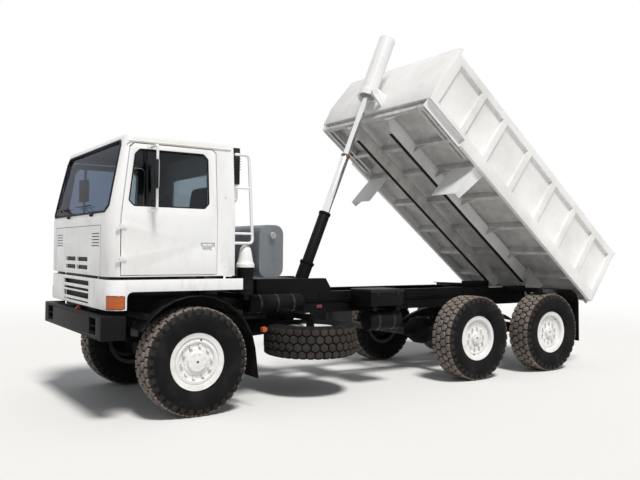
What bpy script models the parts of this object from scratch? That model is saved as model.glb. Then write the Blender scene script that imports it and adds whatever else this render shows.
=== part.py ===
"""Six-wheel tipping lorry with its body raised, in metres.

The lorry faces -Y, its left side is +X, and it stands on z = 0. Every piece is modelled with y
measured rearwards from the front axle, and the root empty then centres the lorry on the origin.
The tipping body is modelled in its own frame, whose origin is on the tipping hinge.
"""

import math

import bmesh
import bpy
from mathutils import Matrix, Vector

# Clearances
SEAT_GAP = 0.0003
RUNNING_GAP = 0.006

# Wheels, as tyre and rim
TYRE_RADIUS = 0.570
LUG_HEIGHT = 0.020
LUG_TAPER = 0.140
TYRE_WIDTH = 0.380
RIM_SEAT_RADIUS = 0.256
RIM_FLANGE_RADIUS = 0.300
RIM_WIDTH = 0.290
FLANGE_THICKNESS = 0.012
HUB_BORE_RADIUS = 0.045
HUB_BORE_END = 0.100
DISC_INNER_FACE = 0.055
LUGS_PER_SIDE = 14
RIM_SEGMENTS = 18

# Axles and steering
TRACK_HALF = 1.027
AXLE_HEIGHT = TYRE_RADIUS
MIDDLE_AXLE_Y = 4.106
BOGIE_SPACING = 1.520
REAR_AXLE_Y = MIDDLE_AXLE_Y + BOGIE_SPACING
AXLE_TUBE_RADIUS = 0.080
DRUM_RADIUS = 0.190
DRUM_WIDTH = 0.150
KINGPIN_X = 0.930
KNUCKLE_RADIUS = 0.085
KNUCKLE_HALF_HEIGHT = 0.120
FORK_THICKNESS = 0.035
FRONT_DIFF_X = -0.250
PINION_LENGTH = 0.320
REAR_PINION_LENGTH = 0.340
FRONT_DRUM_WIDTH = 0.076
FORK_EYE_RADIUS = 0.045
SPRING_X = 0.390
SPRING_WIDTH = 0.080
SPRING_HALF_SPAN = 0.720
SPRING_THICKNESS = 0.100

# Chassis
RAIL_OUTER_X = 0.430
RAIL_FLANGE = 0.080
RAIL_THICKNESS = 0.010
RAIL_TOP = 1.215
RAIL_DEPTH = 0.270
RAIL_BOTTOM = RAIL_TOP - RAIL_DEPTH
RAIL_FRONT_Y = -0.860
RAIL_REAR_Y = REAR_AXLE_Y + 0.394
RAIL_END_SLOPE = 0.090
BUMPER_FRONT_Y = -1.005
BUMPER_THICKNESS = 0.140
BUMPER_HALF_WIDTH = 1.180
BUMPER_BOTTOM = 0.840
BUMPER_TOP = 1.080

# Cab, as an outline of its side and what is cut from it
CAB_HALF_WIDTH = 1.171
CAB_WALL = 0.045
CAB_FRONT_Y = -0.945
CAB_REAR_Y = 0.430
CAB_BOTTOM = 1.460
CAB_BELT = 2.060
CAB_ROOF_TOP = 2.920
CAB_ROOF_FRONT = CAB_ROOF_TOP - 0.055
CAB_ROOF_FRONT_Y = -0.765
CAB_LEAN = 0.066
CAB_ROOF_HALF = CAB_HALF_WIDTH - CAB_LEAN
DOOR_FRONT_Y = -0.828
DOOR_REAR_Y = 0.210
DOOR_TOP = 2.800
DOOR_GAP = 0.008
GLASS_THICKNESS = 0.006
TILT_AXIS_Y = -0.905
TILT_AXIS_Z = 1.395
PANEL_TOP = 1.430
PANEL_BOTTOM = 1.130
PANEL_WALL = 0.020
SILL_BOTTOM = 1.310
SILL_REAR_Y = 0.517

# Tipping body, in its own frame of u forwards from its tail and v up from its side's lower edge
TIP_ANGLE = math.radians(37.6)
HINGE_Y = REAR_AXLE_Y + 0.313
HINGE_Z = 1.105
HINGE_U = 0.502
HINGE_V = -0.250
BED_LENGTH = 4.302
BED_HALF_WIDTH = 1.231
SIDE_HEIGHT = 0.956
SIDE_THICKNESS = 0.060
POCKET_DEPTH = 0.042
FLOOR_TOP = 0.150
FLOOR_THICKNESS = 0.030
HEADBOARD_HEIGHT = 1.040
HEADBOARD_BULGE = 0.055
GATE_THICKNESS = 0.050
GATE_AXIS_U = -GATE_THICKNESS / 2
GATE_PIN_RADIUS = 0.012
GATE_EYE_RADIUS = 0.025
RUNNER_X = 0.380
RUNNER_WIDTH = 0.080
RUNNER_BOTTOM = RAIL_TOP + RUNNING_GAP - HINGE_Z + HINGE_V

# Telescopic ram, along its own axis from the trunnion on the chassis
RAM_BASE_Y = HINGE_Y - 4.052
RAM_BASE_Z = 1.105
RAM_LEAN = math.radians(22.6)
TRUNNION_U = 4.516
TRUNNION_V = 0.280


def clear_scene():
    """Removes what the startup scene holds."""
    for item in list(bpy.data.objects):
        bpy.data.objects.remove(item, do_unlink=True)


def collection(name, hidden=False):
    """A collection linked to the scene."""
    made = bpy.data.collections.new(name)
    bpy.context.scene.collection.children.link(made)
    made.hide_render = hidden
    return made


clear_scene()
PARTS = collection("tipping_lorry")
CUTTERS = collection("cutters", hidden=True)


# Paint and other finishes: colour, roughness and metallic value
FINISHES = {
    "white_paint": ((0.80, 0.81, 0.82), 0.35, 0.0),
    "black_paint": ((0.012, 0.012, 0.014), 0.45, 0.0),
    "grey_paint": ((0.20, 0.22, 0.24), 0.45, 0.0),
    "rubber": ((0.020, 0.019, 0.018), 0.85, 0.0),
    "glass": ((0.05, 0.07, 0.08), 0.05, 0.0),
    "chrome": ((0.75, 0.75, 0.76), 0.12, 1.0),
    "cast_metal": ((0.05, 0.05, 0.05), 0.60, 0.3),
    "fabric": ((0.03, 0.035, 0.05), 0.90, 0.0),
    "plastic": ((0.025, 0.025, 0.027), 0.60, 0.0),
    "mirror": ((0.60, 0.62, 0.65), 0.08, 1.0),
}


def material(node_name, finish):
    """A Principled BSDF material of one node, in one of the finishes."""
    colour, roughness, metallic = FINISHES[finish]
    made = bpy.data.materials.new(node_name + "_" + finish)
    made.use_nodes = True
    shader = made.node_tree.nodes["Principled BSDF"]
    shader.inputs["Base Color"].default_value = (*colour, 1.0)
    shader.inputs["Roughness"].default_value = roughness
    shader.inputs["Metallic"].default_value = metallic
    made.diffuse_color = (*colour, 1.0)
    return made


# Shapes


def mesh_object(mesh):
    """A working object of this mesh. It stays a hidden helper until it is settled as a node."""
    made = bpy.data.objects.new("helper", mesh)
    made.display_type = "WIRE"
    made.hide_render = True
    CUTTERS.objects.link(made)
    return made


def tidied(mesh):
    """Welds a mesh's loose caps and points its faces outwards."""
    form = bmesh.new()
    form.from_mesh(mesh)
    bmesh.ops.remove_doubles(form, verts=form.verts, dist=1e-5)
    bmesh.ops.dissolve_degenerate(form, edges=form.edges, dist=1e-6)
    bmesh.ops.recalc_face_normals(form, faces=form.faces)
    form.to_mesh(mesh)
    form.free()
    return mesh


def applied(item):
    """A mesh object of what the item's modifiers or curve make, in place of the item."""
    graph = bpy.context.evaluated_depsgraph_get()
    graph.update()
    mesh = bpy.data.meshes.new_from_object(item.evaluated_get(graph))
    mesh.transform(item.matrix_basis)
    bpy.data.objects.remove(item, do_unlink=True)
    return mesh_object(tidied(mesh))


def box(low, high):
    """A box between two corners."""
    low = Vector(low)
    high = Vector(high)
    form = bmesh.new()
    size = Matrix.Diagonal((high - low).to_4d())
    bmesh.ops.create_cube(form, size=1.0, matrix=Matrix.Translation((low + high) / 2) @ size)
    mesh = bpy.data.meshes.new("box")
    form.to_mesh(mesh)
    form.free()
    return mesh_object(mesh)


def paired_boxes(low, high):
    """The box and its copy on the lorry's other side."""
    return [box(low, high), box((-high[0], low[1], low[2]), (-low[0], high[1], high[2]))]


AXES = {"x": Vector((1, 0, 0)), "y": Vector((0, 1, 0)), "z": Vector((0, 0, 1))}


def rod(start, end, radius, segments=12, end_radius=None):
    """A round bar, or a cone, from one point to another."""
    start = Vector(start)
    end = Vector(end)
    reach = end - start
    turn = AXES["z"].rotation_difference(reach).to_matrix().to_4x4()
    form = bmesh.new()
    bmesh.ops.create_cone(
        form,
        cap_ends=True,
        segments=segments,
        radius1=radius,
        radius2=radius if end_radius is None else end_radius,
        depth=reach.length,
        matrix=Matrix.Translation((start + end) / 2) @ turn,
    )
    mesh = bpy.data.meshes.new("rod")
    form.to_mesh(mesh)
    form.free()
    return mesh_object(mesh)


# A flat outline's own X and Y become these two axes, and its normal the third
PLANES = {
    "yz": Matrix(((0, 0, 1, 0), (1, 0, 0, 0), (0, 1, 0, 0), (0, 0, 0, 1))),
    "xy": Matrix.Identity(4),
    "xz": Matrix(((1, 0, 0, 0), (0, 0, 1, 0), (0, 1, 0, 0), (0, 0, 0, 1))),
}


def slab(plane, outline, low, high):
    """A flat outline in a plane, made thick from low to high along the plane's normal."""
    curve = bpy.data.curves.new("slab", "CURVE")
    curve.dimensions = "2D"
    curve.fill_mode = "BOTH"
    curve.extrude = (high - low) / 2
    spline = curve.splines.new("POLY")
    spline.points.add(len(outline) - 1)
    for point, (across, along) in zip(spline.points, outline):
        point.co = (across, along, 0.0, 1.0)
    spline.use_cyclic_u = True
    item = bpy.data.objects.new("slab", curve)
    CUTTERS.objects.link(item)
    item.matrix_basis = PLANES[plane] @ Matrix.Translation((0, 0, (low + high) / 2))
    return applied(item)


def turned(profile, segments, place=None):
    """A profile of (along, radius) points turned about the X axis."""
    mesh = bpy.data.meshes.new("profile")
    points = [(along, radius, 0.0) for along, radius in profile]
    closed = profile[0][1] > 0 and profile[-1][1] > 0
    edges = [(index, index + 1) for index in range(len(points) - 1)]
    if closed:
        edges.append((len(points) - 1, 0))
    mesh.from_pydata(points, edges, [])
    item = mesh_object(mesh)
    screw = item.modifiers.new("turn", "SCREW")
    screw.axis = "X"
    screw.steps = segments
    screw.render_steps = segments
    screw.use_merge_vertices = True
    screw.merge_threshold = 0.0001
    if place is not None:
        item.matrix_basis = place
    return applied(item)


def tube(points, radius, bend=0.0, sides=2):
    """A round tube along straight runs, with each corner rounded by a few points."""
    route = [Vector(point) for point in points]
    path = [route[0]]
    for before, corner, after in zip(route, route[1:], route[2:]):
        start = corner + (before - corner).normalized() * bend
        end = corner + (after - corner).normalized() * bend
        for share in (0.0, 0.33, 0.67, 1.0) if bend else (0.0,):
            first = start.lerp(corner, share)
            second = corner.lerp(end, share)
            path.append(first.lerp(second, share) if bend else corner)
    path.append(route[-1])
    curve = bpy.data.curves.new("tube", "CURVE")
    curve.dimensions = "3D"
    curve.bevel_depth = radius
    curve.bevel_resolution = sides
    curve.use_fill_caps = True
    spline = curve.splines.new("POLY")
    spline.points.add(len(path) - 1)
    for point, place in zip(spline.points, path):
        point.co = (*place, 1.0)
    item = bpy.data.objects.new("tube", curve)
    CUTTERS.objects.link(item)
    return applied(item)


def combined(body, others, operation):
    """Joins the others to the body, or cuts them from it."""
    for other in others:
        change = body.modifiers.new(operation, "BOOLEAN")
        change.operation = operation
        change.object = other
        change.solver = "EXACT"
    made = applied(body)
    for other in others:
        bpy.data.objects.remove(other, do_unlink=True)
    return made


def fused(*pieces):
    """One body of pieces that meet."""
    return combined(pieces[0], pieces[1:], "UNION")


def cut(body, *cutters):
    """The body without what the cutters take out."""
    return combined(body, cutters, "DIFFERENCE")


def common(body, other):
    """What two bodies share."""
    return combined(body, [other], "INTERSECT")


def copied(item, transform=None):
    """A copy of a shape, moved by a matrix."""
    mesh = item.data.copy()
    if transform is not None:
        mesh.transform(transform)
        if transform.determinant() < 0:
            mesh.flip_normals()
    return mesh_object(mesh)


def mirrored(item):
    """The shape's twin on the lorry's other side."""
    return copied(item, Matrix.Scale(-1, 4, AXES["x"]))


def moved(item, offset):
    """The shape, moved."""
    item.data.transform(Matrix.Translation(offset))
    return item


def bevelled(item, width, chosen, segments=2):
    """The shape with the edges that the test chooses rounded."""
    form = bmesh.new()
    form.from_mesh(item.data)
    edges = [edge for edge in form.edges if chosen(edge.verts[0].co, edge.verts[1].co)]
    bmesh.ops.bevel(form, geom=edges, offset=width, segments=segments, affect="EDGES", profile=0.5)
    form.to_mesh(item.data)
    form.free()
    return item


def arc(centre, radius, start, end, points):
    """Points along an arc in a plane, with its angles in degrees."""
    made = []
    for index in range(points):
        angle = math.radians(start + (end - start) * index / (points - 1))
        made.append((centre[0] + radius * math.cos(angle), centre[1] + radius * math.sin(angle)))
    return made


# Places of the moving pieces


def pivot(name, place, parent=None):
    """An empty on a joint's axis. Its matrix in the lorry's own frame is kept with it."""
    made = bpy.data.objects.new(name, None)
    made.empty_display_size = 0.2
    PARTS.objects.link(made)
    made.matrix_basis = place
    if parent is not None:
        made.parent = parent
        made.matrix_parent_inverse = PLACES[parent.name].inverted()
    PLACES[name] = place
    return made


PLACES = {}


def settle(item, name, finish, parent, local=False, smooth=None):
    """Names a finished shape, gives it its material and hangs it on its pivot.

    A local shape is modelled in the pivot's frame, and any other in the lorry's own frame.
    """
    item.name = name
    item.data.name = name
    item.data.materials.clear()
    item.data.materials.append(material(name, finish))
    CUTTERS.objects.unlink(item)
    PARTS.objects.link(item)
    item.hide_render = False
    item.display_type = "TEXTURED"
    item.parent = parent
    if not local:
        item.matrix_parent_inverse = PLACES[parent.name].inverted()
    if smooth is not None:
        item.data.shade_smooth()
        item.data.set_sharp_from_angle(angle=math.radians(smooth))
    return item


def bed_point(u, v):
    """A point's y and z in the tipping body's own frame."""
    return (HINGE_U - u, v - HINGE_V)


def bed_world(u, v):
    """The same point in the lorry's own frame, with the body raised."""
    y, z = bed_point(u, v)
    cosine = math.cos(TIP_ANGLE)
    sine = math.sin(TIP_ANGLE)
    return (HINGE_Y + y * cosine + z * sine, HINGE_Z - y * sine + z * cosine)


# The lorry's front is the bumper, and its rear the tailgate's hinge eyes
REARMOST_Y = bed_world(GATE_AXIS_U, SIDE_HEIGHT)[0] + GATE_EYE_RADIUS
FRONT_AXLE_Y = -(REARMOST_Y + BUMPER_FRONT_Y) / 2
ROOT = pivot("lorry", Matrix.Translation((0, FRONT_AXLE_Y, 0)))
PLACES["lorry"] = Matrix.Identity(4)


# Wheels


def tyre_shape():
    """A turned carcass whose tread carries staggered lugs, in the wheel's frame."""
    half_seat = RIM_WIDTH / 2 - FLANGE_THICKNESS - SEAT_GAP
    segments = 2 * LUGS_PER_SIDE
    seat_radius = RIM_SEAT_RADIUS / math.cos(math.pi / segments) + SEAT_GAP
    groove_radius = TYRE_RADIUS - LUG_HEIGHT
    shoulder = TYRE_WIDTH / 2 - 0.030
    half = [
        (half_seat, seat_radius),
        (half_seat, RIM_FLANGE_RADIUS + 0.012),
        (TYRE_WIDTH / 2, 0.430),
        (shoulder, groove_radius - 0.010),
    ]
    profile = [(-along, radius) for along, radius in half]
    profile += [(0.0, groove_radius)]
    profile += half[::-1]
    shape = turned(profile, segments)
    form = bmesh.new()
    form.from_mesh(shape.data)
    lugs = []
    for face in form.faces:
        centre = face.calc_center_median()
        radius = math.hypot(centre.y, centre.z)
        if radius < groove_radius - 0.025 or abs(centre.x) > shoulder:
            continue
        step = round((math.atan2(centre.z, centre.y) / math.tau) * segments - 0.5)
        if (step + (centre.x > 0)) % 2:
            lugs.append(face)
    raised = bmesh.ops.extrude_discrete_faces(form, faces=lugs)["faces"]
    for face in raised:
        centre = face.calc_center_median()
        for vertex in face.verts:
            vertex.co = vertex.co.lerp(centre, LUG_TAPER)
            radius = math.hypot(vertex.co.y, vertex.co.z)
            vertex.co.y *= TYRE_RADIUS / radius
            vertex.co.z *= TYRE_RADIUS / radius
    form.to_mesh(shape.data)
    form.free()
    return shape


# Outer face of a wheel disc: distance out from the wheel's centre plane, and radius
DISC_FACES = {
    "front": [(0.150, 0.0), (0.150, 0.100), (0.122, 0.135), (0.112, 0.200), (0.088, 0.212), (0.088, 0.236)],
    "rear": [(0.128, 0.0), (0.128, 0.070), (0.096, 0.082), (0.096, 0.190), (0.078, 0.206), (0.078, 0.236)],
}


def rim_shape(kind):
    """A turned rim with its disc, and a blind bore that runs on the stub of the axle."""
    outer = RIM_WIDTH / 2
    lip = outer - FLANGE_THICKNESS
    well = RIM_SEAT_RADIUS - 0.014
    profile = list(DISC_FACES[kind])
    profile += [(outer, well + 0.002), (outer, RIM_FLANGE_RADIUS), (lip, RIM_FLANGE_RADIUS)]
    profile += [(lip, RIM_SEAT_RADIUS), (-lip, RIM_SEAT_RADIUS)]
    profile += [(-lip, RIM_FLANGE_RADIUS), (-outer, RIM_FLANGE_RADIUS), (-outer, well)]
    profile += [(DISC_INNER_FACE, well - 0.004), (DISC_INNER_FACE, HUB_BORE_RADIUS)]
    bore_end = min(HUB_BORE_END, DISC_FACES[kind][0][0] - 0.020)
    profile += [(bore_end, HUB_BORE_RADIUS), (bore_end, 0.0)]
    return turned(profile, RIM_SEGMENTS)


def stub_radius():
    """The largest stub that turns freely in the rim's bore."""
    return HUB_BORE_RADIUS * math.cos(math.pi / RIM_SEGMENTS) - SEAT_GAP


# Wheels: name, side, axle's y and the disc's kind
WHEELS = [
    ("front_left", 1, 0.0, "front"),
    ("front_right", -1, 0.0, "front"),
    ("middle_left", 1, MIDDLE_AXLE_Y, "rear"),
    ("middle_right", -1, MIDDLE_AXLE_Y, "rear"),
    ("rear_left", 1, REAR_AXLE_Y, "rear"),
    ("rear_right", -1, REAR_AXLE_Y, "rear"),
]

HALF_TURN = Matrix.Rotation(math.pi, 4, "Z")


def build_wheels(steered):
    """Each tyre and rim on its hub, at the end of its axle."""
    tyre = tyre_shape()
    rims = {"front": rim_shape("front"), "rear": rim_shape("rear")}
    for name, side, axle_y, kind in WHEELS:
        place = Matrix.Translation((side * TRACK_HALF, axle_y, AXLE_HEIGHT))
        hub = pivot("hub_" + name, place, steered.get(name, ROOT))
        facing = Matrix.Identity(4) if side > 0 else HALF_TURN
        settle(copied(tyre, facing), "tyre_" + name, "rubber", hub, local=True, smooth=35)
        settle(copied(rims[kind], facing), "rim_" + name, "white_paint", hub, local=True, smooth=35)
    flat = Matrix.Translation((SPARE_X, SPARE_Y, SPARE_Z)) @ Matrix.Rotation(-math.pi / 2, 4, "Y")
    settle(copied(tyre, flat), "spare_tyre", "rubber", ROOT, smooth=35)
    settle(copied(rims["rear"], flat), "spare_rim", "white_paint", ROOT, smooth=35)
    for shape in (tyre, *rims.values()):
        bpy.data.objects.remove(shape, do_unlink=True)


SPARE_X = 0.685
SPARE_Y = 1.700
SPARE_Z = 0.660
CARRIER_THICKNESS = 0.060


def axle_end(drum_width):
    """The drum and stub at the outer end of an axle, as (along, radius) points from its tip."""
    stub_end = TRACK_HALF + HUB_BORE_END - 2 * SEAT_GAP
    drum_face = TRACK_HALF + DISC_INNER_FACE - RUNNING_GAP
    return [
        (stub_end, 0.0),
        (stub_end, stub_radius()),
        (drum_face, stub_radius()),
        (drum_face, DRUM_RADIUS),
        (drum_face - drum_width, DRUM_RADIUS),
    ]


def build_driven_axle(name, axle_y):
    """A rear axle: tube, differential bowl, drums and the stubs that carry its wheels."""
    half = axle_end(DRUM_WIDTH)
    half += [(half[-1][0], AXLE_TUBE_RADIUS), (0.220, AXLE_TUBE_RADIUS)]
    half += [(0.150, 0.170), (0.060, 0.200)]
    profile = half + [(-along, radius) for along, radius in reversed(half)]
    shape = turned(profile, 16, Matrix.Translation((0, axle_y, AXLE_HEIGHT)))
    nose = (0, axle_y - REAR_PINION_LENGTH, AXLE_HEIGHT)
    pinion = rod(nose, (0, axle_y, AXLE_HEIGHT), 0.060, 10, 0.120)
    settle(fused(shape, pinion), name, "black_paint", ROOT, smooth=35)


def spring_leaf(centre_y, half_span, end_z, middle_z, thickness):
    """The side view of a leaf spring pack, bowed between its ends."""
    rise = end_z - middle_z
    shares = [-1.0, -0.6, -0.25, 0.25, 0.6, 1.0]
    upper = [(centre_y + share * half_span, middle_z + rise * share * share) for share in shares]
    lower = []
    for share in reversed(shares):
        y = centre_y + share * half_span
        depth = thickness * (1.0 - 0.75 * abs(share))
        lower.append((y, middle_z + rise * share * share - depth))
    return upper + lower


def build_front_axle():
    """The steered axle: a tube with its bowl, a fork at each end, and its springs."""
    tube_end = KINGPIN_X - KNUCKLE_RADIUS - RUNNING_GAP
    profile = [(-tube_end, 0.0), (-tube_end, 0.070)]
    profile += [(FRONT_DIFF_X - 0.200, 0.070), (FRONT_DIFF_X - 0.080, 0.185)]
    profile += [(FRONT_DIFF_X + 0.080, 0.185), (FRONT_DIFF_X + 0.200, 0.070)]
    profile += [(tube_end, 0.070), (tube_end, 0.0)]
    body = turned(profile, 14, Matrix.Translation((0, 0, AXLE_HEIGHT)))
    pinion_end = (FRONT_DIFF_X, PINION_LENGTH, AXLE_HEIGHT)
    pieces = [rod((FRONT_DIFF_X, 0, AXLE_HEIGHT), pinion_end, 0.110, 10, 0.055)]
    inner = KNUCKLE_HALF_HEIGHT + SEAT_GAP
    outer = inner + FORK_THICKNESS
    for side in (1, -1):
        root_x = tube_end - 0.060
        post = [(side * root_x, -outer), (side * tube_end, -outer), (side * tube_end, outer)]
        post.append((side * root_x, outer))
        shifted = [(x, AXLE_HEIGHT + z) for x, z in post]
        pieces.append(slab("xz", shifted, -0.060, 0.060))
        for end in (1, -1):
            low, high = sorted((AXLE_HEIGHT + end * inner, AXLE_HEIGHT + end * outer))
            first, second = sorted((side * root_x, side * KINGPIN_X))
            pieces.append(box((first, -0.042, low + 0.001), (second, 0.042, high - 0.001)))
            eye = (side * KINGPIN_X, 0, low)
            pieces.append(rod(eye, (side * KINGPIN_X, 0, high), FORK_EYE_RADIUS, 12))
        leaf = spring_leaf(0.0, SPRING_HALF_SPAN, HANGER_BOTTOM - SEAT_GAP, 0.735, SPRING_THICKNESS)
        low = side * SPRING_X - SPRING_WIDTH / 2
        pieces.append(slab("yz", leaf, low, low + SPRING_WIDTH))
        pieces.append(box((low - 0.010, -0.070, 0.560), (low + SPRING_WIDTH + 0.010, 0.070, 0.750)))
    settle(fused(body, *pieces), "front_axle", "black_paint", ROOT, smooth=35)


HANGER_BOTTOM = 0.845
BOGIE_SEAT_Z = 0.890


def build_bogie_springs():
    """A spring pack on each side, from one rear axle to the other, below its chassis seat."""
    centre = (MIDDLE_AXLE_Y + REAR_AXLE_Y) / 2
    seat_z = AXLE_HEIGHT + AXLE_TUBE_RADIUS + SEAT_GAP
    reach = BOGIE_SPACING / 2
    top = BOGIE_SEAT_Z - SEAT_GAP
    outline = [
        (centre - reach - 0.070, seat_z),
        (centre - reach + 0.070, seat_z),
        (centre - reach / 2, seat_z + 0.020),
        (centre, seat_z + 0.040),
        (centre + reach / 2, seat_z + 0.020),
        (centre + reach - 0.070, seat_z),
        (centre + reach + 0.070, seat_z),
        (centre + reach + 0.070, seat_z + 0.030),
        (centre + reach / 2, seat_z + 0.110),
        (centre + 0.140, top),
        (centre - 0.140, top),
        (centre - reach / 2, seat_z + 0.110),
        (centre - reach - 0.070, seat_z + 0.030),
    ]
    for name, side in (("bogie_spring_left", 1), ("bogie_spring_right", -1)):
        low = side * SPRING_X - SPRING_WIDTH / 2
        shape = slab("yz", outline, low, low + SPRING_WIDTH)
        settle(shape, name, "black_paint", ROOT)


def build_knuckle(name, side, steer):
    """The steering knuckle: a swivel on its kingpin, a drum and the stub of the wheel."""
    profile = axle_end(FRONT_DRUM_WIDTH)
    profile += [(profile[-1][0], 0.100), (KINGPIN_X + 0.030, 0.060), (KINGPIN_X, 0.060), (KINGPIN_X, 0.0)]
    place = Matrix.Translation((0, 0, AXLE_HEIGHT))
    arm = turned(profile, 14, place)
    swivel = rod(
        (KINGPIN_X, 0, AXLE_HEIGHT - KNUCKLE_HALF_HEIGHT),
        (KINGPIN_X, 0, AXLE_HEIGHT + KNUCKLE_HALF_HEIGHT),
        KNUCKLE_RADIUS,
        14,
    )
    shape = fused(arm, swivel)
    if side < 0:
        other = mirrored(shape)
        bpy.data.objects.remove(shape, do_unlink=True)
        shape = other
    settle(shape, name, "black_paint", steer, smooth=35)


# Chassis


def channel(side):
    """The section of a chassis rail, open towards the middle."""
    web = side * RAIL_OUTER_X
    inner = side * (RAIL_OUTER_X - RAIL_THICKNESS)
    edge = side * (RAIL_OUTER_X - RAIL_FLANGE)
    lip = RAIL_THICKNESS
    return [
        (web, RAIL_BOTTOM),
        (web, RAIL_TOP),
        (edge, RAIL_TOP),
        (edge, RAIL_TOP - lip),
        (inner, RAIL_TOP - lip),
        (inner, RAIL_BOTTOM + lip),
        (edge, RAIL_BOTTOM + lip),
        (edge, RAIL_BOTTOM),
    ]


# Cross-members: y of the front face, depth in y, bottom and top
CROSS_MEMBERS = [
    (RAIL_FRONT_Y + 0.004, 0.080, 0.965, 1.195),
    (-0.520, 0.090, 0.895, 0.950),
    (0.440, 0.090, 0.895, 0.950),
    (2.360, 0.080, 0.965, 1.195),
    (3.400, 0.080, 0.965, 1.195),
    (4.806, 0.120, 0.965, 1.195),
    (RAIL_REAR_Y - 0.180, 0.060, 0.960, 1.180),
]
HINGE_PIN_RADIUS = 0.035
HINGE_PIN_HALF = 0.500
TANK_BOTTOM = 1.430
TILT_PIN_RADIUS = 0.010
TILT_EYE_RADIUS = 0.017
TILT_POST_X = 0.600
TILT_EAR = 0.020
OUTRIGGER = 0.060


def build_chassis():
    """Two channel rails with what is fixed to them: cross-members, hangers, seats and posts."""
    rails = [slab("xz", channel(side), RAIL_FRONT_Y, RAIL_REAR_Y) for side in (1, -1)]
    end = [
        (RAIL_REAR_Y - RAIL_END_SLOPE, RAIL_TOP + 0.001),
        (RAIL_REAR_Y + 0.050, RAIL_TOP + 0.001),
        (RAIL_REAR_Y + 0.050, RAIL_TOP - 0.100),
        (RAIL_REAR_Y, RAIL_TOP - 0.065),
    ]
    rails = [cut(rail, slab("yz", end, -0.600, 0.600)) for rail in rails]
    pieces = [rails[1]]
    reach = RAIL_OUTER_X - RAIL_THICKNESS / 2
    for front, depth, low, high in CROSS_MEMBERS:
        pieces.append(box((-reach, front, low), (reach, front + depth, high)))
    inner = RAIL_OUTER_X - RAIL_FLANGE + 0.003
    hanger_top = RAIL_BOTTOM + RAIL_THICKNESS / 2
    for side in (-1, 1):
        y = side * SPRING_HALF_SPAN
        low = (inner, y - 0.050, HANGER_BOTTOM)
        pieces += paired_boxes(low, (reach, y + 0.050, hanger_top))
    centre = (MIDDLE_AXLE_Y + REAR_AXLE_Y) / 2
    pieces += paired_boxes((inner, centre - 0.150, BOGIE_SEAT_Z), (reach, centre + 0.150, hanger_top))
    pin_end = (HINGE_PIN_HALF, HINGE_Y, HINGE_Z)
    pieces.append(rod((-HINGE_PIN_HALF, HINGE_Y, HINGE_Z), pin_end, HINGE_PIN_RADIUS, 16))
    foot = RAIL_TOP - RAIL_THICKNESS / 2
    post_x = RAIL_OUTER_X - 0.003
    pieces += paired_boxes((inner, 0.330, foot), (post_x, 0.400, CAB_BOTTOM - SEAT_GAP))
    low = (inner, TANK_FRONT_Y + 0.040, foot)
    pieces += paired_boxes(low, (post_x, TANK_REAR_Y - 0.040, TANK_BOTTOM - SEAT_GAP))
    pieces += front_posts()
    pieces += spare_carrier()
    for side, y, low, high, out in OUTRIGGERS:
        first, second = sorted((side * (RAIL_OUTER_X - RAIL_THICKNESS / 2), side * out))
        pieces.append(box((first, y, low), (second, y + OUTRIGGER, high)))
    settle(fused(rails[0], *pieces), "chassis_frame", "black_paint", ROOT)


def front_posts():
    """What carries the front panel and bumper, and the posts and pins of the cab's tilt hinge."""
    reach = RAIL_OUTER_X - RAIL_THICKNESS / 2
    outer = TILT_POST_X + TILT_EAR
    pieces = paired_boxes((reach, RAIL_FRONT_Y + 0.010, 1.120), (outer, RAIL_FRONT_Y + 0.060, 1.180))
    low = (TILT_POST_X, RAIL_FRONT_Y + 0.006, 1.130)
    pieces += paired_boxes(low, (outer + 0.004, RAIL_FRONT_Y + 0.056, 1.350))
    for side in (1, -1):
        low_x = min(side * TILT_POST_X, side * outer)
        ear = [(RAIL_FRONT_Y + 0.030, 1.330), (TILT_AXIS_Y + 0.020, TILT_AXIS_Z + 0.012)]
        ear += arc((TILT_AXIS_Y, TILT_AXIS_Z), TILT_EYE_RADIUS, 45, 225, 6)
        ear += [(RAIL_FRONT_Y + 0.012, 1.330)]
        pieces.append(slab("yz", ear, low_x, low_x + TILT_EAR))
        start = (side * (TILT_POST_X + 0.005), TILT_AXIS_Y, TILT_AXIS_Z)
        pieces.append(rod(start, (side * (outer + 0.045), TILT_AXIS_Y, TILT_AXIS_Z), TILT_PIN_RADIUS, 12))
    panel_back = CAB_FRONT_Y + PANEL_WALL + SEAT_GAP
    low_x = RAIL_OUTER_X - 0.060
    pieces += paired_boxes((low_x, panel_back, 1.145), (reach - 0.002, RAIL_FRONT_Y + 0.030, 1.190))
    bumper_back = BUMPER_FRONT_Y + BUMPER_THICKNESS + SEAT_GAP
    pieces += paired_boxes((low_x, bumper_back, 0.970), (reach - 0.002, RAIL_FRONT_Y + 0.030, 1.060))
    return pieces


def spare_carrier():
    """A beam below the left rail, whose boss clamps the spare wheel's disc."""
    disc_top = SPARE_Z + DISC_FACES["rear"][0][0] + SEAT_GAP
    beam_low = RAIL_BOTTOM - CARRIER_THICKNESS
    inner = RAIL_OUTER_X - RAIL_FLANGE + 0.005
    beam = box((inner, SPARE_Y - 0.050, beam_low), (SPARE_X + 0.060, SPARE_Y + 0.050, RAIL_BOTTOM + 0.005))
    return [beam, rod((SPARE_X, SPARE_Y, disc_top), (SPARE_X, SPARE_Y, beam_low + 0.010), 0.050, 12)]


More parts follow.
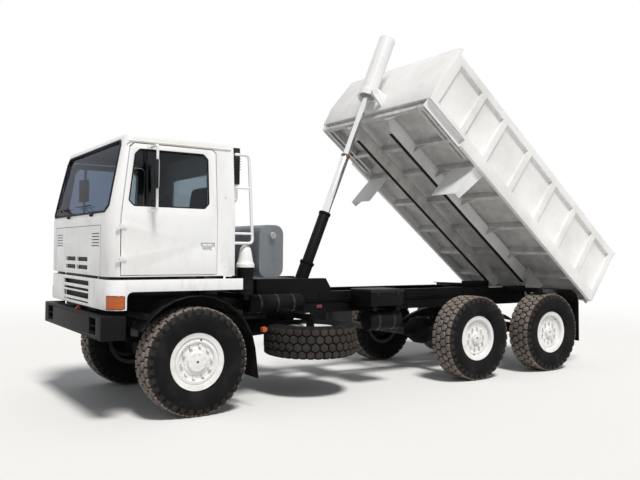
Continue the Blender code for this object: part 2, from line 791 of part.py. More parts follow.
# What hangs on the outriggers
AIR_CLEANER_X = CAB_HALF_WIDTH - 0.111
AIR_CLEANER_Y = 0.600
AIR_CLEANER_FOOT = 1.250
FRONT_RESERVOIR_X = 0.580
FRONT_RESERVOIR_Y = 0.870
FRONT_RESERVOIR_LENGTH = 0.750
FRONT_RESERVOIR_LEVEL = 1.100
FRONT_RESERVOIR_RADIUS = 0.110
REAR_RESERVOIR_X = 0.780
REAR_RESERVOIR_RADIUS = 0.130
FUEL_TANK_INNER_X = 0.500
FUEL_TANK_OUTER_X = 1.120
FUEL_TANK_BOTTOM = 0.600
FUEL_TANK_TOP = 1.140
FUEL_TANK_FRONT_Y = 1.150
FUEL_TANK_REAR_Y = 2.050
BATTERY_INNER_X = 0.520
BATTERY_OUTER_X = 0.960
BATTERY_FRONT_Y = 2.430
BATTERY_REAR_Y = 2.960
BATTERY_FLOOR = 1.040
BATTERY_BEARER_BOTTOM = BATTERY_FLOOR - 0.060

# Outriggers on the rails: side, y of the front face, bottom, top and outer end
RESERVOIR_STAY_END = FRONT_RESERVOIR_X - FRONT_RESERVOIR_RADIUS - SEAT_GAP
FUEL_STAY_END = FUEL_TANK_INNER_X - SEAT_GAP
BATTERY_BEARER_TOP = BATTERY_FLOOR - SEAT_GAP
OUTRIGGERS = [
    (1, AIR_CLEANER_Y - 0.030, AIR_CLEANER_FOOT - 0.060, AIR_CLEANER_FOOT - SEAT_GAP, AIR_CLEANER_X + 0.040),
    (1, BATTERY_FRONT_Y + 0.050, BATTERY_BEARER_BOTTOM, BATTERY_BEARER_TOP, BATTERY_OUTER_X - 0.020),
    (1, BATTERY_REAR_Y - 0.100, BATTERY_BEARER_BOTTOM, BATTERY_BEARER_TOP, BATTERY_OUTER_X - 0.020),
    (-1, FUEL_TANK_FRONT_Y + 0.150, 0.960, 1.020, FUEL_STAY_END),
    (-1, FUEL_TANK_REAR_Y - 0.200, 0.960, 1.020, FUEL_STAY_END),
    (1, FRONT_RESERVOIR_Y + 0.080, 1.060, 1.120, RESERVOIR_STAY_END),
    (1, FRONT_RESERVOIR_Y + FRONT_RESERVOIR_LENGTH - 0.170, 1.060, 1.120, RESERVOIR_STAY_END),
]

CRADLE_FRONT_Y = RAM_BASE_Y - 0.797
CRADLE_REAR_Y = RAM_BASE_Y + 0.213
CRADLE_TOP = 1.385
CRADLE_DECK_END = RAM_BASE_Y - 0.187
TRUNNION_PIN_RADIUS = 0.030
TRUNNION_BLOCK_X = 0.105


def build_cradle():
    """The raised cradle over the rails: a deck, two walls and the blocks of the ram's trunnion."""
    seat = RAIL_TOP + SEAT_GAP
    inner = RAIL_OUTER_X - RAIL_FLANGE
    low = (-RAIL_OUTER_X, CRADLE_FRONT_Y, CRADLE_TOP - 0.030)
    deck = box(low, (RAIL_OUTER_X, CRADLE_DECK_END, CRADLE_TOP))
    side_wall = [
        (CRADLE_FRONT_Y, seat),
        (CRADLE_REAR_Y + 0.080, seat),
        (CRADLE_REAR_Y + 0.080, seat + 0.040),
        (CRADLE_REAR_Y, CRADLE_TOP - 0.002),
        (CRADLE_FRONT_Y, CRADLE_TOP - 0.002),
    ]
    pieces = []
    for side in (1, -1):
        low, high = sorted((side * (inner + 0.004), side * (RAIL_OUTER_X - 0.002)))
        pieces.append(slab("yz", side_wall, low, high))
    low = (-inner - 0.030, CRADLE_FRONT_Y + 0.002, seat)
    pieces.append(box(low, (inner + 0.030, CRADLE_FRONT_Y + 0.030, CRADLE_TOP - 0.010)))
    block = (TRUNNION_BLOCK_X, RAM_BASE_Y - 0.060, RAM_BASE_Z - 0.055)
    pieces += paired_boxes(block, (TRUNNION_BLOCK_X + 0.050, RAM_BASE_Y + 0.060, CRADLE_TOP - 0.040))
    bridge = (TRUNNION_BLOCK_X + 0.010, RAM_BASE_Y - 0.050, seat + 0.010)
    pieces += paired_boxes(bridge, (inner + 0.030, RAM_BASE_Y + 0.050, CRADLE_TOP - 0.045))
    shape = fused(deck, *pieces)
    bore = TRUNNION_PIN_RADIUS / math.cos(math.pi / 12) + SEAT_GAP
    hole = rod((-0.300, RAM_BASE_Y, RAM_BASE_Z), (0.300, RAM_BASE_Y, RAM_BASE_Z), bore, 12)
    settle(cut(shape, hole), "ram_cradle", "black_paint", ROOT)


GEARBOX_END_Y = 1.350


def build_engine():
    """The engine with its sump and gearbox, one plain body on two cross-members."""
    seat = 0.950 + SEAT_GAP
    block = box((-0.300, -0.540, seat), (0.300, 0.640, 1.400))
    sump = box((-0.050, -0.300, 0.730), (0.200, 0.350, seat + 0.020))
    bell = rod((0, 0.630, 1.060), (0, 0.800, 1.060), 0.240, 14, 0.170)
    gearbox = box((-0.200, 0.760, 0.880), (0.200, GEARBOX_END_Y, 1.190))
    settle(fused(block, sump, bell, gearbox), "engine", "cast_metal", ROOT)


def build_transfer_box():
    """The transfer box below its cross-member, with the shafts to the gearbox and the axles."""
    top = 0.965 - SEAT_GAP
    body = box((-0.340, 2.350, 0.640), (0.080, 2.780, top))
    to_gearbox = rod((-0.155, 2.400, 0.920), (-0.155, GEARBOX_END_Y + SEAT_GAP, 0.920), 0.030, 10)
    front_pinion = (FRONT_DIFF_X, PINION_LENGTH + 0.0033, AXLE_HEIGHT)
    to_front = rod((FRONT_DIFF_X, 2.400, 0.720), front_pinion, 0.040, 10)
    pinion_y = MIDDLE_AXLE_Y - REAR_PINION_LENGTH
    to_middle = rod((0, 2.700, 0.740), (0, pinion_y - 0.0076, AXLE_HEIGHT), 0.045, 10)
    shape = fused(body, to_gearbox, to_front, to_middle)
    settle(shape, "transfer_box", "cast_metal", ROOT)


def build_bumper():
    """The straight front beam, with a foot recess near each end."""
    back = BUMPER_FRONT_Y + BUMPER_THICKNESS
    plan = [(BUMPER_HALF_WIDTH - 0.020, BUMPER_FRONT_Y), (BUMPER_HALF_WIDTH, BUMPER_FRONT_Y + 0.030)]
    plan += [(BUMPER_HALF_WIDTH, back + 0.100), (BUMPER_HALF_WIDTH - 0.030, back + 0.100)]
    plan += [(BUMPER_HALF_WIDTH - 0.030, back)]
    outline = plan + [(-x, y) for x, y in reversed(plan)]
    beam = slab("xy", outline, BUMPER_BOTTOM, BUMPER_TOP)
    steps = paired_boxes((0.760, BUMPER_FRONT_Y - 0.020, 0.885), (0.980, BUMPER_FRONT_Y + 0.060, 1.045))
    settle(cut(beam, *steps), "front_bumper", "black_paint", ROOT)


PANEL_CORNER = 0.150
PANEL_ARCH_Y = -0.755

# Openings in the fixed front panel: half width, bottom and top
PANEL_ROWS = [(0.500, 1.345, 1.395), (0.500, 1.285, 1.312), (0.500, 1.205, 1.265), (0.490, 1.160, 1.175)]


def build_front_panel():
    """The fixed panel below the cab: its face, its corners and the sill along each side."""
    outer = [(CAB_HALF_WIDTH, SILL_REAR_Y)]
    corner = (CAB_HALF_WIDTH - PANEL_CORNER, CAB_FRONT_Y + PANEL_CORNER)
    outer += arc(corner, PANEL_CORNER, 0, -90, 5)
    inner = [(CAB_HALF_WIDTH - PANEL_WALL, SILL_REAR_Y)]
    inner += arc(corner, PANEL_CORNER - PANEL_WALL, 0, -90, 5)
    outline = outer + [(-x, y) for x, y in reversed(outer)]
    outline += [(-x, y) for x, y in inner] + list(reversed(inner))
    shape = slab("xy", outline, PANEL_BOTTOM, PANEL_TOP)
    arch = [(PANEL_ARCH_Y, PANEL_BOTTOM - 0.010), (PANEL_ARCH_Y, SILL_BOTTOM - 0.060)]
    arch += arc((PANEL_ARCH_Y + 0.060, SILL_BOTTOM - 0.060), 0.060, 180, 90, 4)[1:]
    arch += [(SILL_REAR_Y + 0.050, SILL_BOTTOM), (SILL_REAR_Y + 0.050, PANEL_BOTTOM - 0.010)]
    cutters = [slab("yz", arch, -1.300, 1.300)]
    for half, low, high in PANEL_ROWS:
        cutters.append(box((-half, CAB_FRONT_Y - 0.020, low), (half, CAB_FRONT_Y + 0.040, high)))
    recess_low = (TILT_POST_X - 0.005, CAB_FRONT_Y + 0.010, TILT_AXIS_Z - 0.040)
    recess_high = (TILT_POST_X + TILT_EAR + 0.055, CAB_FRONT_Y + PANEL_WALL + 0.020, PANEL_TOP + 0.010)
    cutters += paired_boxes(recess_low, recess_high)
    settle(cut(shape, *cutters), "front_panel", "white_paint", ROOT, smooth=30)


# Mudguards

GUARD_INNER_X = 0.800
GUARD_OUTER_X = 1.165
GUARD_THICKNESS = 0.010
FRONT_GUARD_RADIUS = 0.690
REAR_GUARD_TOP = 1.235


def strip(path, thickness):
    """A flat outline along a path of points, thick on its left-hand side."""
    back = []
    for index, point in enumerate(path):
        before = Vector(path[max(index - 1, 0)])
        after = Vector(path[min(index + 1, len(path) - 1)])
        along = (after - before).normalized()
        back.append((point[0] - along.y * thickness, point[1] + along.x * thickness))
    return list(path) + back[::-1]


def guard(path, arms):
    """A mudguard on the left side, with the arms that reach the chassis rail."""
    shape = slab("yz", strip(path, GUARD_THICKNESS), GUARD_INNER_X, GUARD_OUTER_X)
    pieces = []
    for low, high in arms:
        start = (RAIL_OUTER_X + SEAT_GAP, *low)
        pieces.append(box(start, (GUARD_OUTER_X - 0.060, *high)))
    return fused(shape, *pieces)


def build_mudguards():
    """The arched front guards with their flaps, and the quarter guards behind the rear wheels."""
    front = [(0.735, 0.230), (0.705, 0.500)]
    front += arc((0, AXLE_HEIGHT), FRONT_GUARD_RADIUS, 8, 150, 12)
    front_arms = [((0.490, 1.020), (0.550, 1.080)), ((-0.550, 1.020), (-0.490, 1.080))]
    rear = [(REAR_AXLE_Y + 0.670, 0.400), (REAR_AXLE_Y + 0.655, 1.000)]
    rear += [(REAR_AXLE_Y + 0.600, 1.120), (REAR_AXLE_Y + 0.480, 1.190)]
    rear.append((REAR_AXLE_Y - 0.180, REAR_GUARD_TOP - 0.020))
    rear_arms = [((REAR_AXLE_Y - 0.170, 1.150), (REAR_AXLE_Y - 0.110, REAR_GUARD_TOP - 0.022))]
    for label, path, arms in (("front_guard", front, front_arms), ("rear_guard", rear, rear_arms)):
        left = guard(path, arms)
        right = mirrored(left)
        settle(left, label + "_left", "black_paint", ROOT)
        settle(right, label + "_right", "black_paint", ROOT)


# Tanks and what else hangs on the chassis

TANK_FRONT_Y = 0.750
TANK_REAR_Y = 1.060
TANK_HEIGHT = 0.590
TANK_HALF_LENGTH = 1.100


def rounded_rectangle(low, high, radius, points=4):
    """A rounded rectangle between two corners."""
    outline = arc((high[0] - radius, low[1] + radius), radius, -90, 0, points)
    outline += arc((high[0] - radius, high[1] - radius), radius, 0, 90, points)
    outline += arc((low[0] + radius, high[1] - radius), radius, 90, 180, points)
    outline += arc((low[0] + radius, low[1] + radius), radius, 180, 270, points)
    return outline


def build_tanks():
    """The hydraulic tank across the chassis, the fuel tank and the air reservoirs."""
    low = (TANK_FRONT_Y, TANK_BOTTOM)
    section = rounded_rectangle(low, (TANK_REAR_Y, TANK_BOTTOM + TANK_HEIGHT), 0.100, 5)
    tank = slab("yz", section, -TANK_HALF_LENGTH, TANK_HALF_LENGTH)
    top = TANK_BOTTOM + TANK_HEIGHT
    middle = (TANK_FRONT_Y + TANK_REAR_Y) / 2
    neck_level = top - 0.120
    neck_end = (TANK_HALF_LENGTH + 0.020, middle, neck_level)
    neck = rod((TANK_HALF_LENGTH - 0.010, middle, neck_level), neck_end, 0.030, 12)
    settle(fused(tank, neck), "hydraulic_tank", "grey_paint", ROOT, smooth=35)
    low = (-FUEL_TANK_OUTER_X, FUEL_TANK_BOTTOM)
    section = rounded_rectangle(low, (-FUEL_TANK_INNER_X, FUEL_TANK_TOP), 0.080)
    tank = slab("xz", section, FUEL_TANK_FRONT_Y, FUEL_TANK_REAR_Y)
    x = -FUEL_TANK_OUTER_X + 0.140
    y = FUEL_TANK_FRONT_Y + 0.150
    cap = rod((x, y, FUEL_TANK_TOP - 0.010), (x, y, FUEL_TANK_TOP + 0.030), 0.050, 12)
    settle(fused(tank, cap), "fuel_tank", "black_paint", ROOT, smooth=35)
    front = (FRONT_RESERVOIR_X, FRONT_RESERVOIR_Y, FRONT_RESERVOIR_LEVEL)
    rear = (FRONT_RESERVOIR_X, FRONT_RESERVOIR_Y + FRONT_RESERVOIR_LENGTH, FRONT_RESERVOIR_LEVEL)
    tank = rod(front, rear, FRONT_RESERVOIR_RADIUS, 16)
    settle(tank, "front_reservoir", "black_paint", ROOT, smooth=35)
    low = (BATTERY_INNER_X, BATTERY_FRONT_Y, BATTERY_FLOOR)
    battery = box(low, (BATTERY_OUTER_X, BATTERY_REAR_Y, BATTERY_FLOOR + 0.210))
    settle(battery, "battery_box", "black_paint", ROOT)
    level = BATTERY_BEARER_BOTTOM - SEAT_GAP - REAR_RESERVOIR_RADIUS
    front = (REAR_RESERVOIR_X, BATTERY_FRONT_Y + 0.050, level)
    tank = rod(front, (REAR_RESERVOIR_X, BATTERY_REAR_Y + 0.040, level), REAR_RESERVOIR_RADIUS, 16)
    settle(tank, "rear_reservoir", "black_paint", ROOT, smooth=35)


def build_air_cleaner():
    """An upright canister with a bell-shaped cap on top."""
    place = Matrix.Translation((AIR_CLEANER_X, AIR_CLEANER_Y, 0)) @ Matrix.Rotation(-math.pi / 2, 4, "Y")
    profile = [(AIR_CLEANER_FOOT, 0.0), (AIR_CLEANER_FOOT, 0.085), (1.548, 0.085)]
    profile += [(1.550, 0.100), (1.580, 0.100)]
    profile += [(1.610, 0.085), (1.720, 0.065), (1.775, 0.045), (1.790, 0.025), (1.790, 0.0)]
    shape = turned(profile, 16, place)
    settle(shape, "air_cleaner", "white_paint", ROOT, smooth=40)


# Cab

# Plan sections: height, half width, front y, rear y and the radius of the front corners
CAB_SECTIONS = [
    (CAB_BOTTOM, CAB_HALF_WIDTH, CAB_FRONT_Y, CAB_REAR_Y, 0.150),
    (CAB_BELT, CAB_HALF_WIDTH, CAB_FRONT_Y, CAB_REAR_Y, 0.150),
    (CAB_ROOF_FRONT, CAB_ROOF_HALF, CAB_ROOF_FRONT_Y, CAB_REAR_Y, 0.070),
    (CAB_ROOF_FRONT + 0.022, CAB_ROOF_HALF - 0.010, CAB_ROOF_FRONT_Y + 0.014, CAB_REAR_Y - 0.010, 0.070),
    (CAB_ROOF_TOP - 0.012, CAB_ROOF_HALF - 0.045, CAB_ROOF_FRONT_Y + 0.052, CAB_REAR_Y - 0.045, 0.070),
    (CAB_ROOF_TOP, CAB_ROOF_HALF - 0.210, CAB_ROOF_FRONT_Y + 0.230, CAB_REAR_Y - 0.150, 0.070),
]
CAB_REAR_CORNER = 0.040


def lofted(rings):
    """A closed body through rings of points, each ring with as many points."""
    form = bmesh.new()
    loops = [[form.verts.new(point) for point in ring] for ring in rings]
    for lower, upper in zip(loops, loops[1:]):
        for index in range(len(lower)):
            after = (index + 1) % len(lower)
            form.faces.new((lower[index], lower[after], upper[after], upper[index]))
    form.faces.new(loops[0])
    form.faces.new(loops[-1])
    bmesh.ops.recalc_face_normals(form, faces=form.faces)
    mesh = bpy.data.meshes.new("loft")
    form.to_mesh(mesh)
    form.free()
    return mesh_object(mesh)


def cab_form(inset=0.0):
    """The cab's outer form, or one that lies inside it by an even inset."""
    rings = []
    for height, half, front, rear, radius in CAB_SECTIONS:
        half -= inset
        front += inset
        rear -= inset
        radius = max(radius - inset, 0.010)
        back = max(CAB_REAR_CORNER - inset, 0.008)
        plan = arc((half - radius, front + radius), radius, 0, -90, 5)
        plan += arc((radius - half, front + radius), radius, -90, -180, 5)
        plan += arc((back - half, rear - back), back, 180, 90, 3)
        plan += arc((half - back, rear - back), back, 90, 0, 3)
        level = height + (inset if height == CAB_BOTTOM else 0)
        level -= inset if height >= CAB_ROOF_FRONT else 0
        rings.append([(x, y, level) for x, y in plan])
    return lofted(rings)


def leaning(height):
    """How far the cab's side leans inwards at a height."""
    return CAB_LEAN * max(height - CAB_BELT, 0.0) / (CAB_ROOF_FRONT - CAB_BELT)


def leaned(item):
    """The shape on a side of the cab, leaned inwards above the belt as the cab's side is."""
    for vertex in item.data.vertices:
        vertex.co.x -= math.copysign(leaning(vertex.co.z), vertex.co.x)
    return item


def door_outline(gap=0.0):
    """The door's edge, seen from the side. A gap makes the opening that it closes."""
    front = DOOR_FRONT_Y + DOOR_GAP - gap
    rear = DOOR_REAR_Y - DOOR_GAP + gap
    low = CAB_BOTTOM + 0.018 - gap
    high = DOOR_TOP - DOOR_GAP + gap
    slope = (CAB_ROOF_FRONT_Y - CAB_FRONT_Y) / (CAB_ROOF_FRONT - CAB_BELT)
    top_front = front + slope * 0.62 * (high - CAB_BELT)
    corner = 0.040
    outline = [(front, low), (rear, low), (rear, CAB_BELT), (rear, high - corner)]
    outline += [(rear - corner, high), (top_front + corner, high)]
    outline += [(top_front - 0.004, high - corner), (front, CAB_BELT)]
    return outline


WINDOW_BOTTOM = 2.165
WINDOW_TOP = 2.735
WINDOW_FRONT_Y = -0.745
WINDOW_REAR_Y = 0.110


def side_window(gap=0.0):
    """The outline of the door's window."""
    low = WINDOW_BOTTOM + gap
    high = WINDOW_TOP - gap
    front = WINDOW_FRONT_Y + gap
    rear = WINDOW_REAR_Y - gap
    corner = 0.050
    outline = [(front + corner, low), (rear - corner, low), (rear, low + corner), (rear, high - corner)]
    outline += [(rear - corner, high), (front + corner + 0.070, high)]
    outline += [(front + 0.070, high - corner), (front, low + corner)]
    return outline


WINDSCREEN_BOTTOM = 2.105
WINDSCREEN_TOP = 2.826


def windscreen_outline(gap=0.0):
    """The windscreen's outline, seen from the front."""
    low = WINDSCREEN_BOTTOM + gap
    high = WINDSCREEN_TOP - gap
    wide = CAB_HALF_WIDTH - 0.106 - gap
    narrow = CAB_HALF_WIDTH - 0.156 - gap
    corner = 0.060
    right = [(wide - corner, low), (wide, low + corner), (narrow, high - corner), (narrow - corner, high)]
    return right + [(-x, z) for x, z in reversed(right)]


# Grille openings in the cab's face: inner x, outer x, bottom and top
CAB_ROWS = [(0.020, 0.450, 1.598, 1.645), (0.020, 0.450, 1.512, 1.558)]
LOUVRE_LEVELS = [1.765, 1.796, 1.827, 1.858, 1.889]
FLOOR = CAB_BOTTOM + CAB_WALL


# Heights of the door's hinges
HINGE_LEVELS = [1.640, 1.960]
DOOR_AXIS_X = CAB_HALF_WIDTH + 0.012
DOOR_PIN_RADIUS = 0.006
DOOR_EYE_RADIUS = 0.011
DOOR_EYE_HEIGHT = 0.044


def door_brackets():
    """The cab's half of the door hinges: a bracket on each side with an upright pin."""
    pieces = []
    for level in HINGE_LEVELS:
        low = level - DOOR_EYE_HEIGHT / 2 - SEAT_GAP
        plate = (DOOR_AXIS_X - 0.020, DOOR_FRONT_Y - 0.045, low - 0.008)
        pieces += paired_boxes(plate, (DOOR_AXIS_X + 0.008, DOOR_FRONT_Y + 0.007, low))
        for side in (1, -1):
            start = (side * DOOR_AXIS_X, DOOR_FRONT_Y, low - 0.004)
            pieces.append(rod(start, (side * DOOR_AXIS_X, DOOR_FRONT_Y, level + 0.018), DOOR_PIN_RADIUS, 10))
    return pieces


def door_eyes():
    """The left door's half of its hinges: an eye on a strap at each height."""
    pieces = []
    for level in HINGE_LEVELS:
        low = level - DOOR_EYE_HEIGHT / 2
        high = level + DOOR_EYE_HEIGHT / 2
        strap = (CAB_HALF_WIDTH - 0.004, DOOR_FRONT_Y + 0.003, low + 0.001)
        pieces.append(box(strap, (DOOR_AXIS_X + 0.002, DOOR_FRONT_Y + 0.060, high - 0.001)))
        eye = rod((DOOR_AXIS_X, DOOR_FRONT_Y, low), (DOOR_AXIS_X, DOOR_FRONT_Y, high), DOOR_EYE_RADIUS, 12)
        pieces.append(eye)
    return pieces


def build_cab(cab):
    """The hollow cab: walls, floor and roof, cut for the doors, windows and grille."""
    cutters = [cab_form(CAB_WALL)]
    inner = CAB_HALF_WIDTH - CAB_WALL - 0.004
    for side in (1, -1):
        low, high = sorted((side * inner, side * (CAB_HALF_WIDTH + 0.060)))
        cutters.append(leaned(slab("yz", door_outline(DOOR_GAP), low, high)))
    cutters.append(slab("xz", windscreen_outline(), CAB_FRONT_Y - 0.050, -0.700))
    rear_window = rounded_rectangle((-0.600, 2.180), (0.600, 2.600), 0.050, 3)
    cutters.append(slab("xz", rear_window, CAB_REAR_Y - 0.100, CAB_REAR_Y + 0.050))
    for first, second, low, high in CAB_ROWS:
        cutters += paired_boxes((first, CAB_FRONT_Y - 0.020, low), (second, CAB_FRONT_Y + 0.030, high))
    for level in LOUVRE_LEVELS:
        low = (0.590, CAB_FRONT_Y - 0.020, level - 0.006)
        cutters += paired_boxes(low, (0.860, CAB_FRONT_Y + 0.014, level + 0.006))
    shell = cut(cab_form(), *cutters)
    lugs = []
    for side in (1, -1):
        low_x = side * (TILT_POST_X + TILT_EAR + 0.002)
        high_x = side * (TILT_POST_X + TILT_EAR + 0.042)
        first, second = sorted((low_x, high_x))
        lug = [(TILT_AXIS_Y + 0.046, CAB_BOTTOM + 0.013)]
        lug += arc((TILT_AXIS_Y, TILT_AXIS_Z), TILT_EYE_RADIUS, 95, 345, 9)
        lug += [(TILT_AXIS_Y + 0.090, CAB_BOTTOM + 0.013)]
        lugs.append(slab("yz", lug, first, second))
    shell = fused(shell, *lugs, *door_brackets())
    bore = TILT_PIN_RADIUS / math.cos(math.pi / 12) + SEAT_GAP
    hole = rod((-0.700, TILT_AXIS_Y, TILT_AXIS_Z), (0.700, TILT_AXIS_Y, TILT_AXIS_Z), bore, 12)
    settle(cut(shell, hole), "cab_shell", "white_paint", cab, smooth=35)


def build_windscreen(cab):
    """The glass that fills the front opening, and the pane of the rear window."""
    reach = slab("xz", windscreen_outline(SEAT_GAP), CAB_FRONT_Y - 0.020, -0.700)
    pane = cut(common(cab_form(0.014), reach), cab_form(0.014 + GLASS_THICKNESS))
    settle(pane, "windscreen", "glass", cab)
    low = (-0.600 + SEAT_GAP, 2.180 + SEAT_GAP)
    outline = rounded_rectangle(low, (0.600 - SEAT_GAP, 2.600 - SEAT_GAP), 0.050, 3)
    pane = slab("xz", outline, CAB_REAR_Y - 0.030, CAB_REAR_Y - 0.030 + GLASS_THICKNESS)
    settle(pane, "rear_window", "glass", cab)


SEAT_X = 0.620
SEAT_WIDTH = 0.480


def build_cab_inside(cab):
    """Two seats on the floor, and the dashboard with its column and steering wheel."""
    floor = FLOOR + SEAT_GAP
    side_view = [(-0.280, floor), (0.200, floor), (0.260, floor + 0.300), (0.340, floor + 0.950)]
    side_view += [(0.260, floor + 0.970), (0.160, floor + 0.460), (-0.330, floor + 0.480)]
    side_view += [(-0.340, floor + 0.340), (-0.200, floor + 0.300)]
    for name, side in (("driver_seat", 1), ("passenger_seat", -1)):
        low = side * SEAT_X - SEAT_WIDTH / 2
        seat = slab("yz", side_view, low, low + SEAT_WIDTH)
        settle(seat, name, "fabric", cab)
    top = [(-0.880, 1.780), (-0.620, 1.780), (-0.560, 1.980), (-0.660, 2.060), (-0.880, 2.060)]
    dash = slab("yz", top, 0.131 - CAB_HALF_WIDTH, CAB_HALF_WIDTH - 0.131)
    console = [(-0.870, floor), (-0.640, floor), (-0.640, 1.800), (-0.870, 1.800)]
    leg = slab("yz", console, -0.200, 0.200)
    hub = Vector((SEAT_X, -0.400, 2.140))
    column = rod((SEAT_X, -0.680, 1.900), hub, 0.025, 10)
    slope = Matrix.Translation(hub) @ Matrix.Rotation(math.radians(40), 4, "X")
    rim = turned([(-0.012, 0.215), (0.012, 0.215), (0.012, 0.239), (-0.012, 0.239)], 20)
    rim.data.transform(slope @ Matrix.Rotation(math.pi / 2, 4, "Y"))
    spoke = box((-0.225, -0.016, -0.006), (0.225, 0.016, 0.006))
    spoke.data.transform(slope)
    settle(fused(dash, leg, column, rim, spoke), "dashboard", "plastic", cab)


def build_doors(cab):
    """Each hollow-framed door, hung at its front edge, with its glass and its mirror."""
    for name, side in (("left", 1), ("right", -1)):
        place = Matrix.Translation((side * DOOR_AXIS_X, DOOR_FRONT_Y, CAB_BOTTOM))
        hinge = pivot("door_hinge_" + name, place, cab)
        door = slab("yz", door_outline(), CAB_HALF_WIDTH - CAB_WALL, CAB_HALF_WIDTH)
        window = slab("yz", side_window(), CAB_HALF_WIDTH - 0.221, CAB_HALF_WIDTH + 0.129)
        handle = box((CAB_HALF_WIDTH - 0.022, 0.020, 1.730), (CAB_HALF_WIDTH + 0.020, 0.180, 1.810))
        door = leaned(cut(door, window, handle))
        bore = DOOR_PIN_RADIUS / math.cos(math.pi / 10) + SEAT_GAP
        low = (DOOR_AXIS_X, DOOR_FRONT_Y, CAB_BOTTOM)
        hole = rod(low, (DOOR_AXIS_X, DOOR_FRONT_Y, CAB_BELT), bore, 10)
        door = cut(fused(door, *door_eyes()), hole)
        middle = CAB_HALF_WIDTH - CAB_WALL / 2
        glass = leaned(slab("yz", side_window(SEAT_GAP), middle - 0.003, middle + 0.003))
        mirror = mirror_shape()
        for label, shape, finish in (
            ("door_", door, "white_paint"),
            ("door_glass_", glass, "glass"),
            ("mirror_", mirror, "plastic"),
        ):
            if side < 0:
                other = mirrored(shape)
                bpy.data.objects.remove(shape, do_unlink=True)
                shape = other
            settle(shape, label + name, finish, hinge)


MIRROR_X = CAB_HALF_WIDTH + 0.129
MIRROR_Y = -0.510
MIRROR_LEVELS = (2.130, 2.765)


def mirror_shape():
    """The upright tube with its foot, its top bracket and the mirror's head."""
    low, high = MIRROR_LEVELS
    seat = CAB_HALF_WIDTH + SEAT_GAP + 0.0012
    route = [(seat - leaning(low), MIRROR_Y, low), (MIRROR_X, MIRROR_Y, low)]
    route += [(MIRROR_X, MIRROR_Y, high), (seat - leaning(high), MIRROR_Y, high)]
    bar = tube(route, 0.014, 0.040, 1)
    head = box((MIRROR_X - 0.105, MIRROR_Y - 0.030, 2.300), (MIRROR_X + 0.105, MIRROR_Y + 0.020, 2.640))
    return fused(bar, head)


def build_cab_rear(cab):
    """What stands behind the cab: the tube guard, and the intake with its duct."""
    wall = CAB_REAR_Y + SEAT_GAP
    x = CAB_HALF_WIDTH - 0.055
    route = [(x, wall, 2.770), (x, 0.600, 2.770), (x, 0.655, 1.810), (x, wall, 1.810)]
    frame = tube(route, 0.017, 0.050, 1)
    rungs = []
    for level, reach in ((2.410, 0.622), (1.915, 0.650)):
        rungs.append(rod((x, wall, level), (x, reach, level), 0.013, 8))
    settle(fused(frame, *rungs), "guard_frame", "white_paint", cab)
    stack_x = CAB_HALF_WIDTH - 0.231
    stack = box((stack_x - 0.060, wall, 2.460), (stack_x + 0.060, 0.560, 2.860))
    stack = bevelled(stack, 0.025, lambda first, second: abs(first.z - second.z) > 0.1, 2)
    settle(stack, "intake_stack", "black_paint", cab)
    route = [(stack_x, 0.510, 2.460 - SEAT_GAP), (stack_x, 0.510, 2.290), (stack_x, wall, 2.290)]
    duct = tube(route, 0.045, 0.060, 2)
    settle(duct, "intake_duct", "white_paint", cab)


# Tipping body

# Ribs of the body's side: u of the middle, width at its face
RIBS = [
    (0.045, 0.090),
    (0.570, 0.100),
    (1.170, 0.100),
    (1.770, 0.100),
    (2.450, 0.100),
    (3.090, 0.100),
    (3.620, 0.100),
    (4.235, 0.134),
]
POCKET_BOTTOM = 0.165
POCKET_TOP = 0.850


def bed_outline(points):
    """Points of (u, v) as y and z in the tipping body's frame."""
    return [bed_point(u, v) for u, v in points]


def bed_box(x, u, v):
    """A box in the tipping body's frame, from ranges of x, u and v."""
    y_one, z_one = bed_point(u[0], v[0])
    y_two, z_two = bed_point(u[1], v[1])
    return box((x[0], min(y_one, y_two), z_one), (x[1], max(y_one, y_two), z_two))


